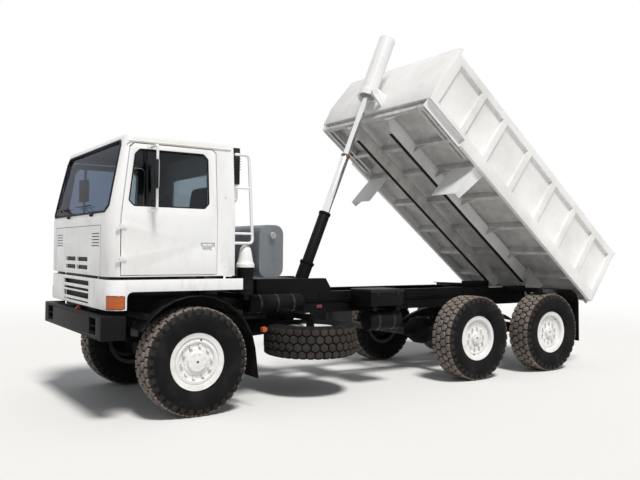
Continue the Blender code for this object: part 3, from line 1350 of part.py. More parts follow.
def build_tub(bed):
    """The open body: floor, ribbed sides and headboard, with the ears that carry the ram's cover."""
    half = BED_HALF_WIDTH
    inner = half - SIDE_THICKNESS
    side_view = bed_outline([(0.0, 0.0), (BED_LENGTH, 0.0), (BED_LENGTH, SIDE_HEIGHT), (0.0, SIDE_HEIGHT)])
    sides = [slab("yz", side_view, inner, half), slab("yz", side_view, -half, -inner)]
    pockets = []
    for (rear, rear_width), (front, front_width) in zip(RIBS, RIBS[1:]):
        span = (rear + rear_width / 2, front - front_width / 2)
        for x in ((half - POCKET_DEPTH, half + 0.010), (-half - 0.010, POCKET_DEPTH - half)):
            pockets.append(bed_box(x, span, (POCKET_BOTTOM, POCKET_TOP)))
    reach = half - 0.010
    floor = bed_box((-reach, reach), (0.0, BED_LENGTH - 0.005), (FLOOR_TOP - FLOOR_THICKNESS, FLOOR_TOP))
    head = [
        (BED_LENGTH - 0.030, FLOOR_TOP - 0.025),
        (BED_LENGTH + 0.004, FLOOR_TOP - 0.025),
        (BED_LENGTH + HEADBOARD_BULGE, FLOOR_TOP + 0.270),
        (BED_LENGTH + 0.025, HEADBOARD_HEIGHT),
        (BED_LENGTH - 0.030, HEADBOARD_HEIGHT),
    ]
    headboard = slab("yz", bed_outline(head), -half + 0.002, half - 0.002)
    sides = [cut(sides[0], *pockets[0::2]), cut(sides[1], *pockets[1::2])]
    sill = bed_box((-reach, reach), (0.006, RIBS[0][1]), (MEMBER_BOTTOM, FLOOR_TOP - FLOOR_THICKNESS / 2))
    shape = fused(floor, *sides, headboard, sill)
    ears = []
    for side in (1, -1):
        first, second = sorted((side * EAR_X, side * (EAR_X + 0.030)))
        ear = [(BED_LENGTH, TRUNNION_V - 0.090), (TRUNNION_U, TRUNNION_V - 0.060)]
        ear += [(TRUNNION_U + 0.055, TRUNNION_V - 0.030), (TRUNNION_U + 0.055, TRUNNION_V + 0.030)]
        ear += [(TRUNNION_U, TRUNNION_V + 0.060), (BED_LENGTH, TRUNNION_V + 0.110)]
        ears.append(slab("yz", bed_outline(ear), first, second))
        first, second = sorted((side * (half - 0.0275), side * (half - 0.0025)))
        lug = [(0.012, SIDE_HEIGHT - 0.060), (GATE_AXIS_U, SIDE_HEIGHT - GATE_EYE_RADIUS)]
        lug += arc((GATE_AXIS_U, SIDE_HEIGHT), GATE_EYE_RADIUS, -100, -260, 6)[1:]
        lug += [(0.012, SIDE_HEIGHT + 0.018), (0.060, SIDE_HEIGHT - 0.002), (0.060, SIDE_HEIGHT - 0.060)]
        ears.append(slab("yz", bed_outline(lug), first, second))
    shape = fused(shape, *ears)
    y, z = bed_point(GATE_AXIS_U, SIDE_HEIGHT)
    bore = GATE_PIN_RADIUS / math.cos(math.pi / 12) + SEAT_GAP
    shape = cut(shape, rod((-1.300, y, z), (1.300, y, z), bore, 12))
    y, z = bed_point(TRUNNION_U, TRUNNION_V)
    bore = TRUNNION_PIN_RADIUS / math.cos(math.pi / 12) + SEAT_GAP
    bored = cut(shape, rod((-0.300, y, z), (0.300, y, z), bore, 12))
    settle(bored, "bed_tub", "white_paint", bed, local=True)


EAR_X = 0.150
UNDER_FLOOR = FLOOR_TOP - FLOOR_THICKNESS - SEAT_GAP
MEMBER_BOTTOM = 0.020
MEMBER_HALF_WIDTH = 0.030
PLATE_U = 3.100
PLATE_DROP = 0.520
HINGE_PLATE_X = 0.455


def build_underframe(bed):
    """Runners and cross-members below the floor, with hinge plates and bent spray plates."""
    reach = BED_HALF_WIDTH - SIDE_THICKNESS - SEAT_GAP
    pieces = []
    for middle, _ in RIBS[1:]:
        span = (middle - MEMBER_HALF_WIDTH, middle + MEMBER_HALF_WIDTH)
        pieces.append(bed_box((-reach, reach), span, (MEMBER_BOTTOM, UNDER_FLOOR)))
    for side in (1, -1):
        x = sorted((side * (RUNNER_X - RUNNER_WIDTH / 2), side * (RUNNER_X + RUNNER_WIDTH / 2)))
        runner = [
            (HINGE_U - 0.060, MEMBER_BOTTOM + 0.030),
            (HINGE_U - 0.060, RUNNER_BOTTOM + 0.020),
            (HINGE_U - 0.030, RUNNER_BOTTOM),
            (4.100, RUNNER_BOTTOM),
            (4.240, MEMBER_BOTTOM - 0.060),
            (4.240, MEMBER_BOTTOM + 0.030),
        ]
        pieces.append(slab("yz", bed_outline(runner), *x))
        x = sorted((side * (RUNNER_X + RUNNER_WIDTH / 2 - 0.005), side * (HINGE_PLATE_X + 0.005)))
        pieces.append(bed_box(x, (HINGE_U - 0.055, HINGE_U + 0.200), (-0.100, MEMBER_BOTTOM + 0.040)))
        x = sorted((side * HINGE_PLATE_X, side * (HINGE_PLATE_X + 0.030)))
        plate = [(HINGE_U + 0.240, MEMBER_BOTTOM + 0.045), (HINGE_U - 0.220, MEMBER_BOTTOM + 0.045)]
        plate += [(HINGE_U - 0.065, HINGE_V + 0.010)]
        plate += arc((HINGE_U, HINGE_V), 0.065, 190, 350, 7)
        plate += [(HINGE_U + 0.065, HINGE_V + 0.010)]
        pieces.append(slab("yz", bed_outline(plate), *x))
        pieces += spray_plate(side)
    shape = fused(pieces[0], *pieces[1:])
    y, z = bed_point(HINGE_U, HINGE_V)
    bore = HINGE_PIN_RADIUS / math.cos(math.pi / 16) + SEAT_GAP
    bored = cut(shape, rod((-0.700, y, z), (0.700, y, z), bore, 16))
    settle(bored, "bed_underframe", "white_paint", bed, local=True)


def spray_plate(side):
    """A bent plate ahead of the bogie, hung from a cross-member: a face and an outer cheek."""
    inner = 0.700
    outer = BED_HALF_WIDTH - SIDE_THICKNESS - 0.010
    low, high = sorted((side * inner, side * outer))
    face = [
        (PLATE_U + 0.012, MEMBER_BOTTOM + 0.030),
        (PLATE_U, MEMBER_BOTTOM + 0.030),
        (PLATE_U + 0.060, -PLATE_DROP),
        (PLATE_U + 0.072, -PLATE_DROP),
    ]
    pieces = [slab("yz", bed_outline(face), low, high)]
    low, high = sorted((side * (outer - 0.012), side * (outer - 0.001)))
    cheek = [
        (PLATE_U + 0.006, MEMBER_BOTTOM + 0.028),
        (PLATE_U - 0.200, MEMBER_BOTTOM + 0.028),
        (PLATE_U - 0.030, -PLATE_DROP - 0.005),
        (PLATE_U + 0.066, -PLATE_DROP + 0.005),
    ]
    pieces.append(slab("yz", bed_outline(cheek), low, high))
    return pieces


def build_tailgate(gate):
    """The ribbed gate that closes the tail, hung at its top edge."""
    half = BED_HALF_WIDTH - 0.030
    shape = bed_box((-half, half), (-GATE_THICKNESS, -SEAT_GAP), (0.040, SIDE_HEIGHT))
    pockets = []
    for index in range(4):
        width = (2 * half - 0.080) / 4
        low = -half + 0.080 + index * width
        pockets.append(bed_box((low, low + width - 0.080), (-GATE_THICKNESS - 0.010, -0.020), (0.160, 0.840)))
    y, z = bed_point(GATE_AXIS_U, SIDE_HEIGHT)
    pins = []
    for side in (1, -1):
        pin_end = (side * (BED_HALF_WIDTH - 0.003), y, z)
        pins.append(rod((side * (half - 0.030), y, z), pin_end, GATE_PIN_RADIUS, 12))
    shape = fused(cut(shape, *pockets), *pins)
    settle(moved(shape, (0, -y, -z)), "tailgate", "white_paint", gate, local=True)


# Ram: stages along its axis, raised

RAM_BASE_BOTTOM = -0.640
RAM_BASE_TOP = 0.520
STAGE_2_TOP = 1.245
STAGE_3_TOP = 2.130
COVER_ABOVE = 0.901
COVER_RADIUS = 0.120
COVER_WALL = 0.008
STAGE_RADII = (0.088, 0.075, 0.0575, 0.045)
STAGE_WALL = 0.009
GLAND_HEIGHT = 0.030

# How far the second stage, the third and the rod come out of the base as the body rises
EXTENSIONS = (0.690, 1.540, 2.575)
STAGE_FOOT = -0.600
ROD_TOP_GAP = 0.038
RAM_SEGMENTS = 16


def stage(bottom, top, radius, inside, gland, closed_end=False):
    """A ram stage: a tube whose gland runs on the stage inside it."""
    guide = inside + SEAT_GAP / math.cos(math.pi / RAM_SEGMENTS)
    bore = radius - STAGE_WALL
    profile = [(bottom, 0.0)] if closed_end else [(bottom, bore)]
    profile += [(bottom, radius), (top - GLAND_HEIGHT, radius), (top - GLAND_HEIGHT, gland), (top, gland)]
    profile += [(top, guide), (top - GLAND_HEIGHT / 2, guide), (top - GLAND_HEIGHT / 2, bore)]
    if closed_end:
        profile += [(bottom + 0.025, bore), (bottom + 0.025, 0.0)]
    return turned(profile, RAM_SEGMENTS, Matrix.Rotation(-math.pi / 2, 4, "Y"))


def build_ram(swing, bed):
    """The base on its trunnion, two stages and the rod, and the cover on the headboard."""
    first, second, third, last = STAGE_RADII
    base = stage(RAM_BASE_BOTTOM, RAM_BASE_TOP, first, second, first + 0.010, closed_end=True)
    pins = []
    for side in (1, -1):
        end = (side * (TRUNNION_BLOCK_X + 0.050), 0, 0)
        pins.append(rod((side * (first - 0.006), 0, 0), end, TRUNNION_PIN_RADIUS, 12))
    settle(fused(base, *pins), "ram_base", "black_paint", swing, local=True, smooth=35)
    slide_2 = pivot("ram_slide_2", PLACES["ram_swing"], swing)
    slide_3 = pivot("ram_slide_3", PLACES["ram_swing"], slide_2)
    slide_rod = pivot("ram_slide_rod", PLACES["ram_swing"], slide_3)
    out_2, out_3, out_rod = EXTENSIONS
    stage_2 = stage(STAGE_FOOT + out_2, STAGE_2_TOP, second, third, second + 0.008)
    settle(stage_2, "ram_stage_2", "black_paint", slide_2, local=True, smooth=35)
    stage_3 = stage(STAGE_FOOT + out_3, STAGE_3_TOP, third, last, third + 0.007)
    settle(stage_3, "ram_stage_3", "chrome", slide_3, local=True, smooth=35)
    rod_top = trunnion_distance() + COVER_ABOVE - COVER_WALL - ROD_TOP_GAP
    bar = rod((0, 0, STAGE_FOOT + out_rod), (0, 0, rod_top), last, RAM_SEGMENTS)
    settle(bar, "ram_rod", "chrome", slide_rod, local=True, smooth=35)
    y, z = bed_world(TRUNNION_U, TRUNNION_V)
    place = Matrix.Translation((0, y, z)) @ Matrix.Rotation(-RAM_LEAN, 4, "X")
    cover_swing = pivot("ram_cover_swing", place, bed)
    inner = COVER_RADIUS - COVER_WALL
    profile = [(-0.050, inner), (-0.050, COVER_RADIUS + 0.015)]
    profile += [(0.030, COVER_RADIUS + 0.015), (0.045, COVER_RADIUS)]
    profile += [(COVER_ABOVE, COVER_RADIUS), (COVER_ABOVE, 0.0), (COVER_ABOVE - COVER_WALL, 0.0)]
    profile += [(COVER_ABOVE - COVER_WALL, inner)]
    turn = Matrix.Rotation(-math.pi / 2, 4, "Y")
    cover = turned(profile[5:] + profile[:6], RAM_SEGMENTS, turn)
    pins = []
    for side in (1, -1):
        end = (side * (EAR_X + 0.030), 0, 0)
        pins.append(rod((side * (COVER_RADIUS - 0.004), 0, 0), end, TRUNNION_PIN_RADIUS, 12))
    settle(fused(cover, *pins), "ram_cover", "white_paint", cover_swing, local=True, smooth=35)


def trunnion_distance():
    """How far the cover's trunnion lies from the base's, with the body raised."""
    y, z = bed_world(TRUNNION_U, TRUNNION_V)
    return math.hypot(y - RAM_BASE_Y, z - RAM_BASE_Z)


def main():
    steer_left = pivot("steer_left", Matrix.Translation((KINGPIN_X, 0, AXLE_HEIGHT)), ROOT)
    steer_right = pivot("steer_right", Matrix.Translation((-KINGPIN_X, 0, AXLE_HEIGHT)), ROOT)
    build_wheels({"front_left": steer_left, "front_right": steer_right})
    build_chassis()
    build_cradle()
    build_engine()
    build_transfer_box()
    build_bumper()
    build_front_panel()
    build_mudguards()
    build_tanks()
    build_air_cleaner()
    build_front_axle()
    build_knuckle("knuckle_left", 1, steer_left)
    build_knuckle("knuckle_right", -1, steer_right)
    build_driven_axle("middle_axle", MIDDLE_AXLE_Y)
    build_driven_axle("rear_axle", REAR_AXLE_Y)
    build_bogie_springs()
    cab = pivot("cab_tilt", Matrix.Translation((0, TILT_AXIS_Y, TILT_AXIS_Z)), ROOT)
    build_cab(cab)
    build_windscreen(cab)
    build_cab_inside(cab)
    build_doors(cab)
    build_cab_rear(cab)
    tipped = Matrix.Translation((0, HINGE_Y, HINGE_Z)) @ Matrix.Rotation(-TIP_ANGLE, 4, "X")
    bed = pivot("bed_tip", tipped, ROOT)
    build_tub(bed)
    build_underframe(bed)
    gate_y, gate_z = bed_point(GATE_AXIS_U, SIDE_HEIGHT)
    gate = pivot("tailgate_hinge", tipped @ Matrix.Translation((0, gate_y, gate_z)), bed)
    build_tailgate(gate)
    lean = Matrix.Translation((0, RAM_BASE_Y, RAM_BASE_Z)) @ Matrix.Rotation(-RAM_LEAN, 4, "X")
    swing = pivot("ram_swing", lean, ROOT)
    build_ram(swing, bed)


main()
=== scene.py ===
"""A six-wheel tipping lorry with its body raised: its finishes and finer pieces over the CAD model."""

import math

import bpy
from mathutils import Matrix, Vector


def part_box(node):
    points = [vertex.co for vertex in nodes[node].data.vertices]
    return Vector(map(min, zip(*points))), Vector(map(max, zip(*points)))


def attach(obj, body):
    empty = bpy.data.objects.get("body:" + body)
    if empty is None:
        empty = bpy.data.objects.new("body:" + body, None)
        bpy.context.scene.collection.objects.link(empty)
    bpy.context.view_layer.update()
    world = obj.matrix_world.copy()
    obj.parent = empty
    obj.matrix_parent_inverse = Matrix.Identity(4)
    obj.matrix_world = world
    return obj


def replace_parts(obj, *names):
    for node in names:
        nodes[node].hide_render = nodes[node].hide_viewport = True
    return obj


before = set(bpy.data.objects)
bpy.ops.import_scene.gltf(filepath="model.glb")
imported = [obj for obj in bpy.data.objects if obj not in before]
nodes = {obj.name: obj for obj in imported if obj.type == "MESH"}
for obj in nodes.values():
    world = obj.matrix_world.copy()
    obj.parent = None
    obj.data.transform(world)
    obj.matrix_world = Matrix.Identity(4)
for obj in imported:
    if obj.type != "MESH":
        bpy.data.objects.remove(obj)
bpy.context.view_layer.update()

# The view
# The camera stands low beside the lorry's left front corner, where the photographer stood.

azimuth = math.radians(56.372)
elevation = math.radians(-0.847)
roll = math.radians(0.593)
backwards = Vector((math.sin(azimuth), -math.cos(azimuth), math.tan(elevation))).normalized()
sideways = Vector((math.cos(azimuth), math.sin(azimuth), 0))
upright = backwards.cross(sideways)
camera_right = sideways * math.cos(roll) + upright * math.sin(roll)
camera_up = upright * math.cos(roll) - sideways * math.sin(roll)
optics = bpy.data.cameras.new("camera")
optics.sensor_width = 36.0
optics.lens = 706.6 / 640 * optics.sensor_width
optics.clip_end = 400
camera = bpy.data.objects.new("camera", optics)
turn = Matrix((camera_right, camera_up, backwards)).transposed().to_4x4()
camera.matrix_world = Matrix.Translation((7.985, -6.0802, 1.740)) @ turn
bpy.context.scene.collection.objects.link(camera)
bpy.context.scene.camera = camera
bpy.context.scene.view_settings.view_transform = "Standard"


class Field:
    """One socket of a material. Plain arithmetic on it adds the nodes that work it out."""

    def __init__(self, finish, socket):
        self.finish = finish
        self.socket = socket

    def worked(self, operation, first, second):
        return self.finish.node("ShaderNodeMath", {"operation": operation}, {0: first, 1: second})

    def __add__(self, other):
        return self.worked("ADD", self, other)

    def __sub__(self, other):
        return self.worked("SUBTRACT", self, other)

    def __rsub__(self, other):
        return self.worked("SUBTRACT", other, self)

    def __mul__(self, other):
        return self.worked("MULTIPLY", self, other)

    __radd__ = __add__
    __rmul__ = __mul__

    def between(self, low, high):
        """0 at low and 1 at high, eased between them."""
        sockets = {0: self, 1: low, 2: high}
        return self.finish.node("ShaderNodeMapRange", {"interpolation_type": "SMOOTHSTEP"}, sockets)

    def until(self, low, high):
        """1 at low and 0 at high, eased between them."""
        return 1.0 - self.between(low, high)


class Finish:
    """A finish of the lorry: a material made from one Principled shader, and the slot of its pieces."""

    def __init__(self, name, slot, colour, roughness, metallic=0.0, shine=0.5):
        self.slot = slot
        self.material = bpy.data.materials.new(name)
        self.material.use_nodes = True
        self.tree = self.material.node_tree
        self.shader = self.tree.nodes["Principled BSDF"]
        self.shader.inputs["Base Color"].default_value = (*colour, 1)
        self.shader.inputs["Roughness"].default_value = roughness
        self.shader.inputs["Metallic"].default_value = metallic
        self.shader.inputs["Specular IOR Level"].default_value = shine
        self.place = self.node("ShaderNodeTexCoord", {}, {}, "Object")

    def node(self, kind, settings, sockets, output=0):
        """Any node: its settings come first, and then the values or links of its sockets."""
        made = self.tree.nodes.new(kind)
        for key, value in settings.items():
            setattr(made, key, value)
        for key, value in sockets.items():
            if isinstance(value, Field):
                self.tree.links.new(value.socket, made.inputs[key])
            else:
                made.inputs[key].default_value = value
        return Field(self, made.outputs[output])

    def axes(self):
        """Where a point is across the lorry, along it and above the ground."""
        return [self.node("ShaderNodeSeparateXYZ", {}, {0: self.place}, axis) for axis in range(3)]

    def noise(self, scale, detail=4.0, stretch=(1, 1, 1), rough=0.55):
        spread = self.node("ShaderNodeVectorMath", {"operation": "MULTIPLY"}, {0: self.place, 1: stretch})
        sockets = {"Vector": spread, "Scale": scale, "Detail": detail, "Roughness": rough}
        return self.node("ShaderNodeTexNoise", {}, sockets)

    def mixed(self, first, second, share):
        first = (*first, 1) if isinstance(first, tuple) else first
        second = (*second, 1) if isinstance(second, tuple) else second
        return self.node("ShaderNodeMix", {"data_type": "RGBA"}, {0: share, 6: first, 7: second}, 2)

    def feed(self, socket, field):
        self.tree.links.new(field.socket, self.shader.inputs[socket])

    def colours(self, first, second, share):
        """The surface's colour, from the first at share 0 to the second at share 1."""
        self.feed("Base Color", self.mixed(first, second, share))

    def raised(self, height, distance, strength=1.0):
        """A relief of this height over the surface, in metres."""
        sockets = {"Strength": strength, "Distance": distance, "Height": height}
        self.feed("Normal", self.node("ShaderNodeBump", {}, sockets))


# The floor and the light
# A plain pale floor that fades into white, one wide soft lamp from the front left, and a white sky.

sky = bpy.data.worlds.new("sky")
sky.use_nodes = True
bpy.context.scene.world = sky
air = sky.node_tree
air.nodes["Background"].inputs["Color"].default_value = (0.93, 0.96, 1.0, 1)
air.nodes["Background"].inputs["Strength"].default_value = 0.30
behind = air.nodes.new("ShaderNodeBackground")
behind.inputs["Color"].default_value = (1, 1, 1, 1)
rays = air.nodes.new("ShaderNodeLightPath")
seen = rays.outputs["Is Camera Ray"]
for kind in ("Is Glossy Ray", "Is Transmission Ray"):
    either = air.nodes.new("ShaderNodeMath")
    either.operation = "MAXIMUM"
    air.links.new(seen, either.inputs[0])
    air.links.new(rays.outputs[kind], either.inputs[1])
    seen = either.outputs[0]
choice = air.nodes.new("ShaderNodeMixShader")
for index, socket in enumerate((seen, air.nodes["Background"].outputs[0], behind.outputs[0])):
    air.links.new(socket, choice.inputs[index])
air.links.new(choice.outputs[0], air.nodes["World Output"].inputs["Surface"])

sun = bpy.data.lights.new("key_lamp", "SUN")
sun.energy = 3.35
sun.angle = math.radians(14)
sun.color = (1.0, 0.975, 0.94)
lamp = bpy.data.objects.new("key_lamp", sun)
lamp.rotation_euler = Vector((0.46, -0.07, 0.86)).to_track_quat("Z", "Y").to_euler()
bpy.context.scene.collection.objects.link(lamp)


def only(piece):
    """Leaves this piece as the one selected, and active."""
    bpy.ops.object.select_all(action="DESELECT")
    piece.select_set(True)
    bpy.context.view_layer.objects.active = piece
    return piece


def basic(name, add, **settings):
    """A new simple shape, the only one selected."""
    bpy.ops.object.select_all(action="DESELECT")
    add(**settings)
    bpy.context.object.name = name
    return bpy.context.object


floor = basic("floor", bpy.ops.mesh.primitive_circle_add, vertices=96, radius=60, fill_type="NGON")
ground = Finish("floor_plain", None, (0.74, 0.74, 0.735), 0.9)
away = ground.node("ShaderNodeVectorMath", {"operation": "LENGTH"}, {0: ground.place}, "Value")
glow = ground.node("ShaderNodeEmission", {}, {"Color": (1, 1, 1, 1), "Strength": 1.0})
shown = ground.node("ShaderNodeLightPath", {}, {}, "Is Camera Ray")
share = away.between(7.0, 17.0) * shown
fade = ground.node("ShaderNodeMixShader", {}, {0: share, 1: Field(ground, ground.shader.outputs[0]), 2: glow})
ground.tree.links.new(fade.socket, ground.tree.nodes["Material Output"].inputs["Surface"])
floor.data.materials.append(ground.material)

# Rolling chassis
# Pressed channel rails, bolted and riveted, in thin black chassis paint that road dust has dulled.

axle_y = (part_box("tyre_front_left")[0].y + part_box("tyre_front_left")[1].y) / 2
ON_LORRY = Matrix.Translation((0, axle_y, 0))
MIDDLE_AXLE_Y, REAR_AXLE_Y = 4.106, 5.626
HALF_TRACK, AXLE_HEIGHT = 1.027, 0.570
SIDES = (("left", 1), ("right", -1))

black = Finish("black_chassis_paint", "black_paint", (0.009, 0.009, 0.010), 0.5, 0.0, 0.06)
dust = black.noise(2.2, 6.0).between(0.42, 0.75) * (1.0 - black.axes()[2].between(0.2, 1.5)) * 0.24
fine = black.noise(38.0, 3.0)
black.colours((0.007, 0.007, 0.008), (0.042, 0.036, 0.029), dust + fine * 0.04)
black.feed("Roughness", 0.42 + dust * 0.4 + fine * 0.16)
black.raised(fine, 0.0006, 0.35)

cast = Finish("cast_iron", "cast_metal", (0.03, 0.03, 0.03), 0.6, 0.1, 0.3)
grain = cast.noise(70.0, 3.0)
soil = cast.noise(3.0, 5.0).between(0.4, 0.7)
cast.colours((0.022, 0.022, 0.024), (0.080, 0.068, 0.052), soil * 0.6)
cast.feed("Roughness", 0.5 + grain * 0.25)
cast.raised(grain, 0.0012, 0.5)

zinc = Finish("zinc_plated_steel", "bright_steel", (0.30, 0.30, 0.31), 0.38, 0.9)
tarnish = zinc.noise(22.0, 4.0)
zinc.colours((0.36, 0.36, 0.37), (0.15, 0.13, 0.11), tarnish.between(0.45, 0.7) * 0.7)
zinc.feed("Roughness", 0.28 + tarnish * 0.3)


def coated(finish, *names):
    """Paints nodes that show just as the CAD made them."""
    for name in names:
        nodes[name].data.materials[0] = finish.material


coated(
    black, "chassis_frame", "ram_cradle", "front_axle", "middle_axle", "rear_axle", "knuckle_left",
    "knuckle_right",
)
coated(cast, "engine", "transfer_box")


def fitted(piece, body, finish, place=ON_LORRY, slot=None):
    """Puts a finished shape in its place on the lorry, on the body that carries it."""
    slot = slot or finish.slot
    only(piece)
    bpy.ops.object.transform_apply(location=True, rotation=True, scale=True)
    piece.data.transform(place)
    piece.data.materials.clear()
    piece.data.materials.append(finish.material)
    bpy.ops.object.shade_smooth_by_angle(angle=math.radians(32))
    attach(piece, body)
    return piece


def at(x, y, z):
    return Matrix.Translation((x, y, z))


def turned(angle, axis):
    return Matrix.Rotation(angle, 4, axis)


def copied(name, source):
    """A piece of its own with the same shape."""
    copy = bpy.data.objects.new(name, source.data.copy())
    bpy.context.scene.collection.objects.link(copy)
    return copy


class Editing:
    """Edit mode on the active piece, all of it selected."""

    def __enter__(self):
        bpy.ops.object.mode_set(mode="EDIT")
        bpy.ops.mesh.select_all(action="SELECT")

    def __exit__(self, *_):
        bpy.ops.object.mode_set(mode="OBJECT")


def block(name, corner, opposite, ease=0.003):
    """A plate or bar between two opposite corners, its edges eased."""
    low, high = [Vector([end(pair) for pair in zip(corner, opposite)]) for end in (min, max)]
    piece = basic(name, bpy.ops.mesh.primitive_cube_add, size=1, location=(low + high) / 2)
    piece.scale = high - low
    bpy.ops.object.transform_apply(location=True, rotation=False, scale=True)
    with Editing():
        bpy.ops.mesh.bevel(offset=ease, segments=2, affect="EDGES")
    return piece


def bar(name, start, end, radius, sides=24, ease=0.0):
    """A round bar from one point to another, with eased ends."""
    start, end = Vector(start), Vector(end)
    reach = end - start
    aim = Vector((0, 0, 1)).rotation_difference(reach).to_euler()
    size = {"vertices": sides, "radius": radius, "depth": reach.length}
    piece = basic(name, bpy.ops.mesh.primitive_cylinder_add, **size, location=(start + end) / 2, rotation=aim)
    bpy.ops.object.transform_apply(location=True, rotation=True, scale=True)
    if ease:
        for edge in piece.data.edges:
            edge.select = False
        for face in piece.data.polygons:
            face.select = len(face.vertices) == sides
        bpy.ops.object.mode_set(mode="EDIT")
        bpy.ops.mesh.select_mode(type="FACE")
        bpy.ops.mesh.region_to_loop()
        bpy.ops.mesh.bevel(offset=ease, segments=2, affect="EDGES")
        bpy.ops.object.mode_set(mode="OBJECT")
    return piece


def spun(name, profile, steps=48, closed=False):
    """A shape turned about the X axis from a wire of (along, radius) points."""
    piece = basic(name, bpy.ops.mesh.primitive_circle_add, vertices=len(profile), radius=1)
    for vertex, (along, radius) in zip(piece.data.vertices, profile):
        vertex.co = (along, 0, radius)
    last = len(profile) - 1
    for edge in piece.data.edges:
        edge.select = not closed and set(edge.vertices) == {0, last}
    for vertex in piece.data.vertices:
        vertex.select = not closed and vertex.index in (0, last)
    bpy.ops.object.mode_set(mode="EDIT")
    bpy.ops.mesh.select_mode(type="EDGE")
    if not closed:
        bpy.ops.mesh.delete(type="EDGE")
    bpy.ops.mesh.select_all(action="SELECT")
    bpy.ops.mesh.spin(steps=steps, angle=math.tau, center=(0, 0, 0), axis=(1, 0, 0))
    bpy.ops.mesh.select_all(action="SELECT")
    bpy.ops.mesh.remove_doubles(threshold=0.00002)
    bpy.ops.mesh.normals_make_consistent(inside=False)
    bpy.ops.object.mode_set(mode="OBJECT")
    return piece


def pipe(name, points, radius, bend=0.03, sides=3):
    """A round pipe or hose along a route, its corners rounded."""
    route = [Vector(point) for point in points]
    path = [route[0]]
    for before, corner, after in zip(route, route[1:], route[2:]):
        path.append(corner + (before - corner).normalized() * min(bend, (before - corner).length / 2.2))
        path.append(corner)
        path.append(corner + (after - corner).normalized() * min(bend, (after - corner).length / 2.2))
    path.append(route[-1])
    curve = bpy.data.curves.new(name, "CURVE")
    curve.dimensions = "3D"
    curve.bevel_depth = radius
    curve.bevel_resolution = sides
    curve.use_fill_caps = True
    spline = curve.splines.new("NURBS")
    spline.points.add(len(path) - 1)
    for point, spot in zip(spline.points, path):
        point.co = (*spot, 1.0)
    spline.order_u = 3
    spline.resolution_u = 5
    spline.use_endpoint_u = True
    piece = bpy.data.objects.new(name, curve)
    bpy.context.scene.collection.objects.link(piece)
    only(piece)
    bpy.ops.object.convert(target="MESH")
    return bpy.context.object


def repeated(name, source, places):
    """Copies of one small piece, one at each place, joined."""
    copies = []
    for place in places:
        copies.append(copied(name, source))
        copies[-1].data.transform(place)
    bpy.data.objects.remove(source, do_unlink=True)
    return joined(name, copies)


def joined(name, pieces):
    """Pieces that are fixed together for good, as one."""
    bpy.ops.object.select_all(action="DESELECT")
    for piece in pieces:
        piece.select_set(True)
    bpy.context.view_layer.objects.active = pieces[0]
    if len(pieces) > 1:
        bpy.ops.object.join()
    pieces[0].name = name
    return pieces[0]


def nut(size, height, stud=0.0):
    """A hexagon nut that faces +X, with a washer under it and the end of its stud."""
    hexagon = basic(
        "hexagon", bpy.ops.mesh.primitive_cylinder_add, vertices=6, radius=size, depth=height,
        location=(height / 2, 0, 0), rotation=(0, math.pi / 2, 0),
    )
    bpy.ops.object.transform_apply(location=True, rotation=True, scale=True)
    for face in hexagon.data.polygons:
        face.select = face.normal.x > 0.9
    bpy.ops.object.mode_set(mode="EDIT")
    bpy.ops.mesh.select_mode(type="FACE")
    bpy.ops.mesh.inset(thickness=size * 0.25, depth=size * 0.12)
    bpy.ops.mesh.inset(thickness=size * 0.15)
    if stud:
        bpy.ops.mesh.extrude_region_move(TRANSFORM_OT_translate={"value": (stud, 0, 0)})
    bpy.ops.object.mode_set(mode="OBJECT")
    washer = spun(
        "washer", [(0, size * 0.4), (0, size * 1.3), (size * 0.16, size * 1.3), (size * 0.16, size * 0.4)],
        14, True,
    )
    return joined("nut", [hexagon, washer])


facing = {1: Matrix.Identity(4), -1: turned(math.pi, "Z")}
rail_bolts = []
for side in (1, -1):
    for y in (
        -0.72, -0.49, 0.43, 0.46, 0.92, 1.15, 1.75, 2.0, 2.38, 2.42, 2.9, 3.42, 3.46, 4.55, 4.83, 4.89, 5.1,
        5.87,
    ):
        for z in (1.015, 1.165):
            rail_bolts.append(at(side * 0.430, y, z) @ facing[side])
    for y in (-0.76, -0.68, 0.68, 0.76, 4.75, 4.82, 4.91, 4.98):
        rail_bolts.append(at(side * 0.430, y, 0.965) @ facing[side])
fitted(repeated("rail_bolts", nut(0.013, 0.012, 0.004), rail_bolts), "chassis", black)

lines = []
for side, height in ((1, 1.120), (1, 1.098), (-1, 1.120)):
    x = side * 0.442
    drops = ((0.45, 0), (2.3, 0), (2.5, 0.02), (4.3, 0), (5.8, 0))
    lines.append(pipe("air_line", [(x, y, height - drop) for y, drop in drops], 0.007))
clip = block("clip", (-0.002, -0.012, -0.030), (0.016, 0.012, 0.014), 0.002)
places = [
    at(side * 0.432 - (0.014 if side < 0 else 0), y, 1.110)
    for side in (1, -1)
    for y in (0.6, 1.3, 2.1, 3.1, 3.8, 4.5, 5.3)
]
clips = repeated("line_clips", clip, places)
fitted(joined("air_lines", [*lines, clips]), "chassis", black, slot="dark_plastic")

guide = [
    block("foot", (0.318, 4.636, 1.150), (0.3495, 5.210, 1.203)),
    block("plate", (0.318, 4.636, 1.200), (0.330, 5.210, 1.305)),
]
fitted(joined("body_guide", guide), "chassis", black)

# Springs
# Stacks of flat steel leaves of falling length, held at the axle by U-bolts and a plate.


